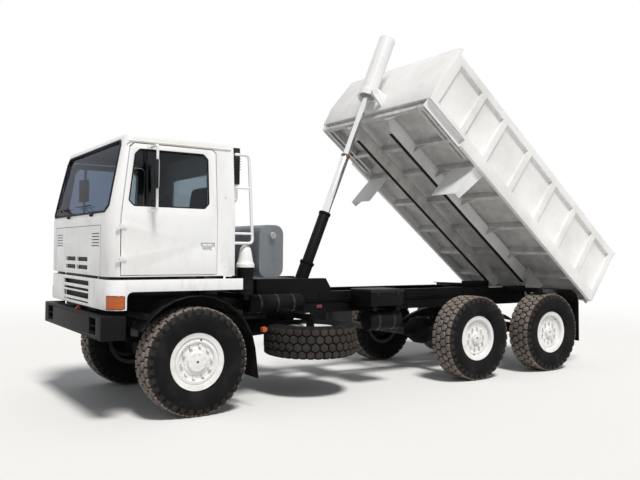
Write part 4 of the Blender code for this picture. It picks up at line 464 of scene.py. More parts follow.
def leaf_stack(name, centre, half_span, ends_z, middle_z, leaves, thickness):
    """A pack of bowed leaves, the top one the longest, on the left rail."""
    made = []
    for index in range(leaves):
        reach = half_span * (1.0 - 0.72 * index / leaves)
        leaf = block("leaf", (-0.038, centre - reach, -thickness), (0.038, centre + reach, -0.0006), 0.0015)
        for share in (0.0, -0.75, -0.5, -0.25, 0.25, 0.5, 0.75):
            with Editing():
                bpy.ops.mesh.bisect(plane_co=(0, centre + share * reach, 0), plane_no=(0, 1, 0))
        for vertex in leaf.data.vertices:
            share = (vertex.co.y - centre) / half_span
            vertex.co.z += middle_z + (ends_z - middle_z) * share * share - index * thickness
            vertex.co.x += 0.390
        made.append(leaf)
    return joined(name, made)


def both_sides(piece, name):
    """The piece's twin on the lorry's right side."""
    twin = copied(name, piece)
    twin.data.transform(Matrix.Scale(-1, 4, (1, 0, 0)))
    twin.data.flip_normals()
    return twin


def u_bolts(name, centres, low, high):
    """U-bolts over a spring pack, with the plate and the nuts under it."""
    made = []
    for y in centres:
        route = [(0.342, y, low - 0.03), (0.342, y, high), (0.438, y, high), (0.438, y, low - 0.03)]
        made.append(pipe("u_bolt", route, 0.009, 0.02))
        for x in (0.342, 0.438):
            tip = nut(0.016, 0.014, 0.006)
            tip.data.transform(at(x, y, low - 0.004) @ turned(math.pi / 2, "Y"))
            made.append(tip)
    made.append(
        block("plate", (0.325, min(centres) - 0.03, low - 0.004), (0.455, max(centres) + 0.03, low + 0.012))
    )
    return joined(name, made)


for label, node, shape in (
    ("bogie_leaves", "bogie_spring", leaf_stack("bogie", 4.866, 0.825, 0.675, 0.885, 11, 0.0135)),
    ("bogie_u_bolts", None, u_bolts("bogie_u", (4.79, 4.94), 0.725, 0.893)),
    ("front_u_bolts", None, u_bolts("front_u", (-0.055, 0.055), 0.480, 0.765)),
):
    for side, piece in (("right", both_sides(shape, label + "_right")), ("left", shape)):
        piece.name = label + "_" + side
        fitted(piece, "chassis", black)
        if node:
            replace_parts(piece, node + "_" + side)

dampers = []
for side in (1, -1):
    x = side * 0.520
    dampers += [
        bar("tube", (x, -0.16, 0.600), (x, -0.26, 0.860), 0.034, 20, 0.004),
        bar("rod", (x, -0.25, 0.85), (x, -0.30, 1.005), 0.022, 16),
    ]
    for y, z in ((-0.30, 1.0), (-0.15, 0.595)):
        dampers.append(bar("pin", (side * 0.43, y, z), (x + side * 0.03, y, z), 0.014, 12, 0.002))
fitted(joined("front_dampers", dampers), "chassis", black)

# Wheels
# Wide single tyres with a block tread, on one-piece steel wheels that are painted white.

rubber = Finish("tyre_rubber", "tyre_rubber", (0.01, 0.01, 0.01), 0.85, 0.0, 0.08)
worn = rubber.node("ShaderNodeAttribute", {"attribute_name": "tread"}, {}, "Fac")
speck = rubber.noise(26.0, 6.0, (1, 1, 1), 0.7)
broad = rubber.noise(5.0, 3.0)
tan = rubber.mixed((0.155, 0.130, 0.112), (0.310, 0.268, 0.235), speck.between(0.3, 0.75))
side_black = rubber.mixed(
    (0.007, 0.007, 0.008), (0.030, 0.027, 0.025), broad.between(0.40, 0.8) * 0.5 + speck * 0.08,
)
rubber.colours(side_black, tan, worn * (0.62 + broad * 0.5))
rubber.feed("Roughness", 0.62 + speck * 0.3)
rubber.raised(speck, 0.0012, 0.5)

PITCHES = 34
CROWN = 0.5695
# Rows of tread blocks: middle along the tyre's width, stagger and radius
ROWS = [(-0.134, 0.0, 0.564), (-0.045, 0.5, CROWN), (0.045, 0.0, CROWN), (0.134, 0.5, 0.564)]


def painted(piece, name, amount):
    """Writes how far a point has some look, such as road dust or painted shade, on each point of a piece."""
    layer = piece.data.attributes.new(name, "FLOAT", "POINT")
    for vertex, value in zip(piece.data.vertices, layer.data):
        value.value = amount(vertex.co)


def around(count, stagger):
    """Evenly spaced turns about the X axis."""
    return [turned(math.tau * (index + stagger) / count, "X") for index in range(count)]


def tyre():
    """A tyre about the X axis, +X its outer side."""
    half = [
        (0.133, 0.258), (0.141, 0.300), (0.150, 0.306), (0.156, 0.318), (0.160, 0.322), (0.176, 0.350),
        (0.187, 0.392), (0.190, 0.425),
    ]
    half += [
        (0.189, 0.452), (0.186, 0.455), (0.184, 0.475), (0.178, 0.500), (0.174, 0.503), (0.171, 0.520),
        (0.166, 0.535), (0.158, 0.5445), (0.120, 0.548),
    ]
    profile = [(-along, radius) for along, radius in half] + [(0, 0.550)] + half[::-1]
    carcass = spun("carcass", profile, 68, True)
    painted(carcass, "tread", lambda co: 0.06 if math.hypot(co.y, co.z) > 0.53 else 0.0)
    blocks = []
    for middle, stagger, radius in ROWS:
        lug = basic(
            "lug", bpy.ops.mesh.primitive_cylinder_add, vertices=6, radius=0.0490, depth=0.040,
            location=(middle, 0, radius - 0.020),
        )
        bpy.ops.object.transform_apply(location=True, rotation=True, scale=True)
        with Editing():
            bpy.ops.transform.rotate(value=math.pi / 6, orient_axis="Z", center_override=(middle, 0, 0))
            bpy.ops.mesh.bevel(offset=0.006, segments=2, affect="EDGES")
        for vertex in lug.data.vertices:
            beyond = max(abs(vertex.co.x) - 0.155, 0.0)
            vertex.co.x -= math.copysign(beyond * 0.55, vertex.co.x)
            reach = math.hypot(vertex.co.y, vertex.co.z)
            ratio = min(radius - beyond * 0.35, reach) / reach
            vertex.co.y *= ratio
            vertex.co.z *= ratio
        blocks.append(repeated("lugs", lug, around(PITCHES, stagger)))
    for side in (1, -1):
        rib = block(
            "rib", (side * 0.1795 - 0.010, -0.028, 0.487), (side * 0.1795 + 0.006, 0.028, 0.541), 0.003,
        )
        for vertex in rib.data.vertices:
            vertex.co.x -= side * (vertex.co.z - 0.487) * 0.30
        stagger = 0.5 if side > 0 else 0.0
        blocks.append(repeated("ribs", rib, around(PITCHES, stagger)))
    for lugs in blocks:
        painted(
            lugs, "tread",
            lambda co: 1.0 if math.hypot(co.y, co.z) > 0.5555 else 0.10 if abs(co.x) < 0.172 else 0.08,
        )
    return joined("tyre", [carcass, *blocks])


white = Finish("white_paint", "white_paint", (0.80, 0.80, 0.80), 0.35)
cloud = white.noise(1.1, 5.0)
marks = white.noise(9.0, 7.0, (1, 1, 0.35), 0.65)
low_down = 1.0 - white.axes()[2].between(0.9, 2.2)
splash = marks.between(0.46, 0.78) * (0.10 + low_down * 0.5)
chips = white.noise(55.0, 2.0).between(0.735, 0.775)
base = white.mixed((0.80, 0.805, 0.81), (0.755, 0.75, 0.735), cloud.between(0.35, 0.75))
base = white.mixed(base, (0.44, 0.40, 0.35), splash)
base = white.mixed(base, (0.25, 0.17, 0.11), chips * 0.55)

# The cab's walls lean inwards above its belt line, the front more than the sides.
BELT, SIDE_LEAN, FRONT_LEAN = 2.060, 0.082, 0.2236


def cab_inside_shade(finish):
    """1 inside the cab, where its steel is painted dark grey as painted shade, and 0 outside."""
    x, y, z = finish.axes()
    above = z.worked("MAXIMUM", z - BELT, 0.0)
    x = x.worked("ABSOLUTE", x, 0.0) + above * SIDE_LEAN
    front = y - above * FRONT_LEAN
    sides = x.until(1.1261, 1.1268) * front.between(axle_y - 0.9008, axle_y - 0.9001)
    sides = sides * y.until(axle_y + 0.401, axle_y + 0.411)
    return sides * z.between(1.479, 1.489) * z.until(2.880, 2.890)


# The cab's inside takes a dark grey: painted shade of the cab's interior.
white.colours(base, (0.040, 0.041, 0.044), cab_inside_shade(white))
white.feed("Roughness", 0.30 + cloud * 0.12 + splash * 0.35)
white.raised(white.noise(160.0, 1.0), 0.0004, 0.10)
white.shader.inputs["Coat Weight"].default_value = 0.25
white.shader.inputs["Coat Roughness"].default_value = 0.12

wheel_white = Finish("wheel_white", "white_paint", (0.8, 0.8, 0.8), 0.42)
scuff = wheel_white.noise(14.0, 7.0, (1, 1, 1), 0.68)
brake = wheel_white.noise(3.5, 3.0).between(0.40, 0.72)
wheel_base = wheel_white.mixed(
    (0.79, 0.79, 0.785), (0.60, 0.57, 0.53), brake * 0.45 + scuff.between(0.45, 0.8) * 0.35,
)
# The wheel's inner side is painted near black: painted shade on the back of the rim.
rim_back_shade = wheel_white.node("ShaderNodeAttribute", {"attribute_name": "rim_back_shade_mark"}, {}, "Fac")
wheel_base = wheel_white.mixed(wheel_base, (0.20, 0.15, 0.11), scuff.between(0.66, 0.76) * 0.6)
wheel_white.colours(wheel_base, (0.020, 0.019, 0.018), rim_back_shade)
wheel_white.feed("Roughness", 0.36 + scuff * 0.3)
wheel_white.raised(scuff, 0.0005, 0.25)

# Disc faces of the two kinds of wheel, as (along, radius) points from the hub outwards
FACES = {
    "front": [
        (0.149, 0.0), (0.149, 0.060), (0.146, 0.068), (0.146, 0.098), (0.140, 0.106), (0.124, 0.110),
        (0.121, 0.116), (0.119, 0.142), (0.112, 0.146), (0.110, 0.150), (0.110, 0.190), (0.113, 0.195),
        (0.128, 0.200), (0.133, 0.206), (0.134, 0.214), (0.128, 0.236), (0.120, 0.243),
    ],
    "rear": [
        (0.127, 0.0), (0.127, 0.045), (0.124, 0.052), (0.124, 0.068), (0.118, 0.075), (0.104, 0.080),
        (0.096, 0.084), (0.095, 0.090), (0.095, 0.176), (0.098, 0.186), (0.106, 0.200), (0.108, 0.212),
        (0.098, 0.232), (0.096, 0.242),
    ],
}
# Rings of fasteners: radius, count, size, height and where the face lies
RINGS = {
    "front": [
        (0.168, 10, 0.0155, 0.018, 0.110), (0.083, 8, 0.008, 0.006, 0.146), (0.130, 10, 0.008, 0.005, 0.1195),
    ],
    "rear": [
        (0.142, 10, 0.0155, 0.018, 0.0955), (0.060, 6, 0.008, 0.006, 0.124), (0.110, 10, 0.007, 0.004, 0.095),
    ],
}


def wheel(kind):
    """A steel wheel about the X axis: rim, disc, hub, nuts and valve."""
    outer = FACES[kind] + [
        (0.128, 0.246), (0.138, 0.249), (0.141, 0.256), (0.141, 0.292), (0.1435, 0.2985), (0.145, 0.2995),
        (0.1450, 0.300), (0.134, 0.300),
    ]
    profile = outer + [
        (0.133, 0.262), (0.100, 0.2565), (-0.100, 0.2565), (-0.133, 0.262), (-0.134, 0.300), (-0.145, 0.300),
        (-0.145, 0.292),
    ]
    profile += [(-0.138, 0.252), (-0.100, 0.246), (0.040, 0.242), (0.0555, 0.230), (0.0555, 0.0456)]
    rim = spun("rim", profile, 64)
    made = [rim]
    for radius, count, size, height, face in RINGS[kind]:
        fastener = nut(size, height, size * 0.7 if size > 0.01 else 0.0)
        places = [step @ at(face - 0.0015, 0, radius) for step in around(count, 0.5)]
        made.append(repeated("fasteners", fastener, places))
    made.append(
        pipe("valve", [(0.118, 0.0, 0.222), (0.136, 0.0, 0.226), (0.143, 0.0, 0.240)], 0.0045, 0.01, 2)
    )
    steel = joined("wheel", made)
    # Marks the rim's inner side for its painted shade.
    painted(steel, "rim_back_shade_mark", lambda co: 1.0 if co.x < 0.056 else 0.0)
    return steel


dark = Finish("dark_plastic", "dark_plastic", (0.02, 0.02, 0.022), 0.5, 0.0, 0.2)
dark_grain = dark.noise(120.0, 2.0)
dark.colours((0.010, 0.010, 0.011), (0.030, 0.028, 0.026), dark.noise(7.0, 5.0).between(0.45, 0.8))
dark.feed("Roughness", 0.42 + dark_grain * 0.22)
dark.raised(dark_grain, 0.0004, 0.4)

tyre_source = tyre()
sources = {"front": wheel("front"), "rear": wheel("rear")}
# Wheels: name, side, y of the axle and kind
WHEELS = [
    ("front_left", 1, 0.0, "front"),
    ("front_right", -1, 0.0, "front"),
    ("middle_left", 1, MIDDLE_AXLE_Y, "rear"),
    ("middle_right", -1, MIDDLE_AXLE_Y, "rear"),
    ("rear_left", 1, REAR_AXLE_Y, "rear"),
    ("rear_right", -1, REAR_AXLE_Y, "rear"),
]
for order, (name, side, y, kind) in enumerate(WHEELS):
    rolled = facing[side] @ turned(0.7 + order * 1.3 if kind == "rear" else 0.12, "X")
    place = ON_LORRY @ at(side * HALF_TRACK, y, AXLE_HEIGHT) @ rolled
    for source, label, finish, node in (
        (tyre_source, "block_tyre_", rubber, "tyre_"),
        (sources[kind], "steel_wheel_", wheel_white, "rim_"),
    ):
        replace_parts(fitted(copied(label + name, source), "wheel_" + name, finish, place), node + name)
    cap_face = FACES[kind][0][0]
    steps = ((-0.001, 0.0), (-0.001, 0.013), (0.0015, 0.012), (0.002, 0.010), (0.001, 0.0))
    cap = spun("hub_cap", [(cap_face + step, radius) for step, radius in steps], 20)
    # A dark plug in the disc stands for a hole: painted shade of the hole.
    hole_shade = spun("hole_shade", [(0.090, 0.0), (0.090, 0.011), (0.1265, 0.011), (0.1265, 0.0)], 20)
    hole_shade.data.transform(turned(-0.3, "X") @ at(0.0065 if kind == "front" else -0.022, 0, 0.2255))
    cap = joined("hub_cap_" + name, [cap, hole_shade])
    fitted(cap, "wheel_" + name, dark, place)
flat = ON_LORRY @ at(0.685, 1.700, 0.660) @ turned(-math.pi / 2, "Y")
for source, label, finish, node in (
    (tyre_source, "spare_block_tyre", rubber, "spare_tyre"),
    (sources["rear"], "spare_steel_wheel", wheel_white, "spare_rim"),
):
    source.name = label
    if node == "spare_tyre":
        for mark in source.data.attributes["tread"].data:
            mark.value *= 0.16
    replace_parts(fitted(source, "chassis", finish, flat), node)
bpy.data.objects.remove(sources["front"], do_unlink=True)

# Bumper and front panel
# A straight folded steel beam, and above it the fixed panel with its grille rows and corner lamps.


def softened(node, name, ease, angle=30):
    """The node's own shape with its welded edges eased, to stand for it."""
    piece = only(copied(name, nodes[node]))
    with Editing():
        bpy.ops.mesh.remove_doubles(threshold=0.00002)
        bpy.ops.mesh.dissolve_limited(angle_limit=math.radians(0.8))
    rounding = piece.modifiers.new("eased", "BEVEL")
    rounding.width = ease
    rounding.segments = 2
    rounding.limit_method = "ANGLE"
    rounding.angle_limit = math.radians(angle)
    rounding.use_clamp_overlap = True
    bpy.ops.object.modifier_apply(modifier="eased")
    return piece


AT_ONCE = Matrix.Identity(4)


def dressed(node, name, body, finish, ease, angle=30):
    """The node's own shape, eased and finished, in the node's place."""
    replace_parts(fitted(softened(node, name, ease, angle), body, finish, AT_ONCE), node)


dressed("front_bumper", "bumper_beam", "chassis", black, 0.006)
dressed("front_panel", "lower_panel", "chassis", white, 0.003)

amber = Finish("amber_lens", "clear_glass", (0.85, 0.22, 0.02), 0.18)
flutes = amber.node("ShaderNodeTexWave", {"bands_direction": "Z"}, {"Vector": amber.place, "Scale": 26.0})
along, up = amber.axes()[1:]
inside = up.between(1.144, 1.151) * up.until(1.264, 1.270)
inside = inside * along.between(axle_y - 0.946, axle_y - 0.938)
inside = inside * along.until(axle_y - 0.788, axle_y - 0.780)
lens_edge = up.between(1.125, 1.130) * up.until(1.284, 1.290) * (1.0 - inside)
glassy = amber.mixed((0.50, 0.105, 0.001), (0.30, 0.048, 0.001), flutes.between(0.2, 0.9))
amber.colours(glassy, (0.070, 0.010, 0.002), lens_edge * 0.9)
amber.raised(flutes, 0.001, 0.6)
amber.shader.inputs["Coat Weight"].default_value = 0.12
red = Finish("red_lens", "clear_glass", (0.45, 0.01, 0.01), 0.2)
prism = red.node("ShaderNodeTexVoronoi", {}, {"Vector": red.place, "Scale": 120.0})
red.colours((0.20, 0.008, 0.006), (0.09, 0.003, 0.003), prism)
red.shader.inputs["Coat Weight"].default_value = 0.2

for label, side in SIDES:
    corner = spun(
        "corner_lamp_" + label,
        [(0.0, 0.132), (0.0, 0.151), (0.004, 0.1545), (0.134, 0.1545), (0.138, 0.151), (0.138, 0.132)], 48,
        True,
    )
    only(corner)
    for plane in ((0, 1, 0), (0, -0.45, 1)):
        with Editing():
            bpy.ops.mesh.bisect(plane_co=(0, 0, 0), plane_no=plane, clear_inner=True, use_fill=True)
    flank = block("flank", (0.004, -0.022, 0.132), (0.134, 0.001, 0.1545), 0.003)
    corner = joined("corner_lamp_" + label, [corner, flank])
    swing = Matrix(((0, 0, side, side * 1.0205), (0, -1, 0, -0.7955), (1, 0, 0, 1.138), (0, 0, 0, 1)))
    corner.data.transform(swing)
    only(corner)
    with Editing():
        bpy.ops.mesh.normals_make_consistent(inside=False)
    fitted(corner, "chassis", amber)

mesh_bars = [
    bar("rung", (-0.50, -0.905, z), (0.50, -0.905, z), 0.005, 8)
    for z in (1.175, 1.225, 1.25, 1.30, 1.36, 1.38)
]
# Dark sheets behind the grille bars and across the gap under the cab: painted shade.
shade_screens = [block("screen", (-0.595, -0.892, 1.086), (0.595, -0.884, 1.452), 0.002)]
shade_screens += [
    block("screen", (side * 0.70, -0.892, 1.395), (side * 1.02, -0.884, 1.452), 0.002)
    for side in (1, -1)
]
fitted(joined("grille_bars_and_shade_screens", [*shade_screens, *mesh_bars]), "chassis", dark)
hook = spun(
    "hook", [(-0.016, 0.026), (0.0, 0.020), (0.016, 0.026), (0.016, 0.052), (0.0, 0.058), (-0.016, 0.052)],
    28, True,
)
hook.data.transform(at(0.146, -0.935, 1.060))
pin = bar("pin", (0.10, -0.94, 1.088), (0.192, -0.94, 1.088), 0.013, 16, 0.003)
fitted(joined("tow_eye", [hook, pin]), "chassis", red, slot="cast_metal")
steps = []
for side in (1, -1):
    for z in (0.900, 0.965):
        steps.append(block("tread", (side * 0.765, -0.998, z), (side * 0.975, -0.948, z + 0.006), 0.002))
fitted(joined("bumper_treads", steps), "chassis", black)

# Mudguards
# Rolled sheet guards on tube arms, with rubber flaps, side markers and reflectors.

flap_rubber = Finish("flap_rubber", "dark_plastic", (0.01, 0.01, 0.01), 0.8, 0.0, 0.08)
flap_dust = flap_rubber.noise(6.0, 6.0).between(0.4, 0.75)
flap_rubber.colours((0.008, 0.008, 0.009), (0.050, 0.043, 0.036), flap_dust * 0.5)
flap_rubber.feed("Roughness", 0.6 + flap_dust * 0.3)
flap_rubber.raised(flap_dust, 0.001, 0.4)
for node in ("front_guard", "rear_guard"):
    for label in ("left", "right"):
        full = node + "_" + label
        sheet = softened(full, full + "_sheet", 0.003)
        if node == "front_guard":
            only(sheet)
            with Editing():
                bpy.ops.mesh.bisect(
                    plane_co=(0, 0, 0.335), plane_no=(0, 0, 1), clear_inner=True, use_fill=True,
                )
        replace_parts(fitted(sheet, "chassis", flap_rubber, AT_ONCE, slot="black_paint"), full)
for label, side in SIDES:
    lens_piece = bar(
        "side_marker_" + label, (side * 1.100, 0.800, 0.862), (side * 1.163, 0.800, 0.862), 0.030, 24, 0.006,
    )
    fitted(lens_piece, "chassis", amber)
    bolts = repeated(
        "guard_bolts_" + label, nut(0.010, 0.006),
        [
            at(side * x, y, z) @ turned(-math.pi / 2, "Z")
            for x in (0.84, 0.98, 1.12)
            for y, z in ((REAR_AXLE_Y + 0.667, 0.93), (REAR_AXLE_Y + 0.667, 0.86))
        ],
    )
    fitted(bolts, "chassis", zinc)

# Tanks and boxes
# A grey hydraulic tank across the frame, black fuel and air tanks held by straps, and the battery box.

dark_steel = Finish("dark_steel", "bright_steel", (0.05, 0.05, 0.052), 0.35, 0.8)
rubbed = dark_steel.noise(30.0, 4.0)
dark_steel.colours((0.022, 0.022, 0.024), (0.060, 0.060, 0.063), rubbed.between(0.45, 0.75))
dark_steel.feed("Roughness", 0.26 + rubbed * 0.25)
grey = Finish("grey_paint", "grey_paint", (0.20, 0.22, 0.24), 0.42)
patch = grey.noise(3.0, 5.0)
grey.colours((0.150, 0.166, 0.182), (0.112, 0.122, 0.132), patch.between(0.3, 0.75))
grey.feed("Roughness", 0.34 + patch * 0.2)
grey.raised(grey.noise(90.0, 2.0), 0.0004, 0.15)
for node, name, finish, ease in (
    ("hydraulic_tank", "oil_tank", grey, 0.012),
    ("fuel_tank", "diesel_tank", black, 0.010),
    ("front_reservoir", "air_tank_front", black, 0.020),
    ("rear_reservoir", "air_tank_rear", black, 0.024),
    ("battery_box", "battery_cover", black, 0.008),
):
    dressed(node, name, "chassis", finish, ease, 50)
cap = spun(
    "cap",
    [
        (0.0, 0.0), (0.0, 0.034), (0.008, 0.038), (0.018, 0.038), (0.022, 0.034), (0.022, 0.012),
        (0.028, 0.010), (0.028, 0.0),
    ],
    24,
)
cap.data.transform(at(1.1205, 0.905, 1.900))
fitted(cap, "chassis", zinc)
straps = []
# Each round tank: its axis, the inner and outer radius of its straps, and where they lie
for x, z, inner, outer, places in (
    (0.580, 1.100, 0.1085, 0.1135, (1.02, 1.25, 1.47)),
    (0.780, 0.8497, 0.1285, 0.1325, (2.62, 2.86)),
):
    for y in places:
        profile = [(y - 0.016, inner), (y - 0.016, outer), (y + 0.016, outer), (y + 0.016, inner)]
        straps.append(spun("strap", profile, 32, True))
        straps[-1].data.transform(at(x, 0, z) @ turned(math.pi / 2, "Z"))
fitted(joined("tank_straps", straps), "chassis", dark_steel)
lid = [block("lid", (0.515, 2.424, 1.214), (0.965, 2.966, 1.2525), 0.006)]
lid += [block("latch", (0.961, y, 1.175), (0.972, y + 0.03, 1.235), 0.003) for y in (2.52, 2.84)]
fitted(joined("battery_lid", lid), "chassis", dark)
reflector = block("side_reflector", (0.930, 1.625, 1.055), (0.941, 1.700, 1.090), 0.003)
back_plate = block("reflector_bracket", (0.690, 1.630, 1.068), (0.931, 1.690, 1.078), 0.002)
fitted(reflector, "chassis", red)
fitted(back_plate, "chassis", black)

# Air cleaner
# A black canister with a white bell-shaped rain cover clamped on top.

canister = [
    (1.250, 0.0), (1.250, 0.080), (1.256, 0.086), (1.300, 0.086), (1.304, 0.0885), (1.316, 0.0885),
    (1.320, 0.086), (1.500, 0.086), (1.504, 0.0885), (1.520, 0.0885), (1.524, 0.085), (1.545, 0.083),
    (1.548, 0.0),
]
bell = [
    (1.546, 0.0), (1.546, 0.097), (1.550, 0.1002), (1.582, 0.1002), (1.590, 0.094), (1.612, 0.085),
    (1.650, 0.078), (1.720, 0.066), (1.752, 0.057), (1.775, 0.045), (1.787, 0.028), (1.790, 0.0),
]
stand = ON_LORRY @ at(1.060, 0.600, 0) @ turned(-math.pi / 2, "Y")
body = fitted(spun("air_canister", canister, 48), "chassis", black, stand)
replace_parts(body, "air_cleaner")
fitted(spun("air_cover", bell, 48), "chassis", white, stand)

# Cab
# A welded steel cab on a front hinge, in white, with rubber-sealed windows and folded gutters.

dressed("cab_shell", "cab_panels", "cab", white, 0.004, 35)
for label, side in SIDES:
    dressed("door_" + label, "door_skin_" + label, label + "_door", white, 0.004, 35)

glass = Finish("tinted_glass", "clear_glass", (0.05, 0.07, 0.08), 0.04)
smear = glass.noise(3.0, 6.0, (1, 1, 0.4))
glass.feed("Roughness", 0.03 + smear.between(0.45, 0.8) * 0.08)
# The windscreen's blue tint is a painted reflection of the sky.
sky_tinted_glass = Finish("laminated_glass_sky_tint", "clear_glass", (0.19, 0.235, 0.345), 0.04)
sky_tinted_glass.feed("Roughness", 0.03 + sky_tinted_glass.noise(2.0, 6.0, (1, 1, 0.4)).between(0.45, 0.8) * 0.08)
# The tints and IORs of the two glasses; the windscreen's blue tint is painted reflection of the sky.
for finish, tint, index in ((glass, (0.42, 0.48, 0.52, 1), 1.30), (sky_tinted_glass, (0.19, 0.235, 0.345, 1), 1.06)):
    finish.shader.inputs["Base Color"].default_value = tint
    finish.shader.inputs["Transmission Weight"].default_value = 1.0
    finish.shader.inputs["IOR"].default_value = index
coated(sky_tinted_glass, "windscreen")
coated(glass, "rear_window", "door_glass_left", "door_glass_right")

seal = Finish("window_rubber", "dark_plastic", (0.008, 0.008, 0.009), 0.6, 0.0, 0.15)
seal.feed("Roughness", 0.5 + seal.noise(60.0, 2.0) * 0.3)


def lean(z):
    """How far the cab's side leans inwards at a height."""
    return SIDE_LEAN * max(z - BELT, 0.0)


def face_y(z):
    """Where the cab's front face is at a height."""
    return -0.945 + FRONT_LEAN * max(z - BELT, 0.0)


edge = [(1.065 - 0.06, 2.105), (1.065, 2.165), (1.015, 2.766), (0.955, 2.826)]
loop = edge + [(-x, z) for x, z in reversed(edge)]
route = []
for (x_one, z_one), (x_two, z_two) in zip(loop, loop[1:] + loop[:1]):
    for share in (0.0, 0.25, 0.5, 0.75):
        x, z = x_one + (x_two - x_one) * share, z_one + (z_two - z_one) * share
        radius = 0.150 - 0.080 * min(max((z - BELT) / 0.805, 0), 1)
        corner = max(abs(x) - (1.171 - lean(z) - radius), 0.0)
        route.append(
            (x, face_y(z) + radius - math.sqrt(max(radius * radius - corner * corner, 0.0)) + 0.002, z)
        )
route.append(route[0])
frame_seal = pipe("windscreen_seal", route, 0.0125, 0.01, 2)
fitted(frame_seal, "cab", seal)

for label, side in SIDES:
    body = label + "_door"
    low, high, front, rear = 2.165, 2.735, -0.745, 0.110
    ring = [
        (front + 0.05, low), (rear - 0.05, low), (rear, low + 0.05), (rear, high - 0.05), (rear - 0.05, high),
        (front + 0.12, high), (front + 0.07, high - 0.05), (front, low + 0.05),
    ]
    path = [(side * (1.1665 - lean(z)), y, z) for y, z in ring + ring[:2]]
    fitted(pipe("door_seal_" + label, path[1:], 0.008, 0.03, 2), body, seal)
    x = 1.150
    divider = pipe(
        "quarter_bar_" + label,
        [(side * (x - lean(2.17)), -0.555, 2.168), (side * (x - lean(2.73)), -0.545, 2.732)], 0.009, 0.02, 2,
    )
    fitted(divider, body, seal)
    grip = [
        pipe(
            "grip",
            [
                (side * 1.152, 0.045, 1.785), (side * 1.168, 0.048, 1.785), (side * 1.168, 0.150, 1.785),
                (side * 1.152, 0.155, 1.785),
            ],
            0.008, 0.012, 3,
        )
    ]
    grip.append(bar("lock", (side * 1.150, 0.150, 1.750), (side * 1.167, 0.150, 1.750), 0.012, 18, 0.002))
    fitted(joined("door_handle_" + label, grip), body, white)
    gutter = pipe(
        "gutter_" + label, [(side * 1.117, -0.760, 2.815), (side * 1.117, 0.380, 2.815)], 0.007, 0.02, 2,
    )
    fitted(gutter, "cab", white)
    card = block("door_card_" + label, (side * 1.120, -0.760, 1.520), (side * 1.128, 0.150, 2.120), 0.004)
    fitted(card, body, dark)
    winder = bar(
        "window_winder_" + label, (side * 1.121, -0.30, 1.86), (side * 1.075, -0.30, 1.86), 0.014, 16, 0.003,
    )
    fitted(winder, body, dark)
    rivets = repeated(
        "corner_bolts_" + label, nut(0.008, 0.004),
        [at(side * 1.171, y, z) @ facing[side] for y, z in ((0.30, 2.33), (0.33, 1.95), (0.30, 1.56))],
    )
    fitted(rivets, "cab", white)

# Heights of the louvre blades
BLADES = (1.765, 1.796, 1.827, 1.858, 1.889)
louvres = []
for side in (1, -1):
    for z in BLADES:
        louvres.append(
            block("blade", (side * 0.588, -0.944, z + 0.004), (side * 0.862, -0.9335, z + 0.0085), 0.001)
        )
fitted(joined("louvre_blades", louvres), "cab", white)
# Dark strips behind the grille rows and the louvre blades: painted shade of the openings.
grille_shade = [
    block("grille_shade", (side * 0.022, -0.9185, low), (side * 0.448, -0.9155, low + 0.043), 0.0005)
    for side in (1, -1)
    for low in (1.600, 1.514)
]
grille_shade += [
    block("grille_shade", (side * 0.592, -0.9326, z - 0.005), (side * 0.858, -0.9314, z + 0.0035), 0.0003)
    for side in (1, -1)
    for z in BLADES
]
fitted(joined("grille_painted_shade", grille_shade), "cab", dark)
seams = [block("seam", (-0.905, -0.9458, 1.9695), (0.905, -0.9440, 1.9745), 0.0006)]
seams += [
    block("seam", (side * 0.905 - 0.0022, -0.9456, 1.462), (side * 0.905 + 0.0022, -0.9440, 1.972), 0.0006)
    for side in (1, -1)
]
fitted(joined("hatch_seams", seams), "cab", seal)

wipers = []
for x in (0.60, -0.30):
    wipers.append(
        bar("spindle", (x, face_y(2.085) - 0.001, 2.085), (x, face_y(2.085) - 0.034, 2.078), 0.017, 20, 0.004)
    )
    wipers.append(
        pipe(
            "arm",
            [
                (x, face_y(2.085) - 0.030, 2.085), (x - 0.10, face_y(2.13) - 0.034, 2.130),
                (x - 0.40, face_y(2.19) - 0.022, 2.190),
            ],
            0.006, 0.05, 2,
        )
    )
    blade = block("blade", (x - 0.68, -0.006, -0.006), (x - 0.14, 0.006, 0.006), 0.002)
    blade.data.transform(at(0, face_y(2.19) - 0.010, 2.19))
    wipers.append(blade)
fitted(joined("wipers", wipers), "cab", dark)
fitted(block("roof_lamp", (0.905, -0.52, 2.868), (0.985, -0.43, 2.918), 0.010), "cab", white)

# Mirrors
# A white tube stands on the door, and carries a black shell with its glass facing rearwards.

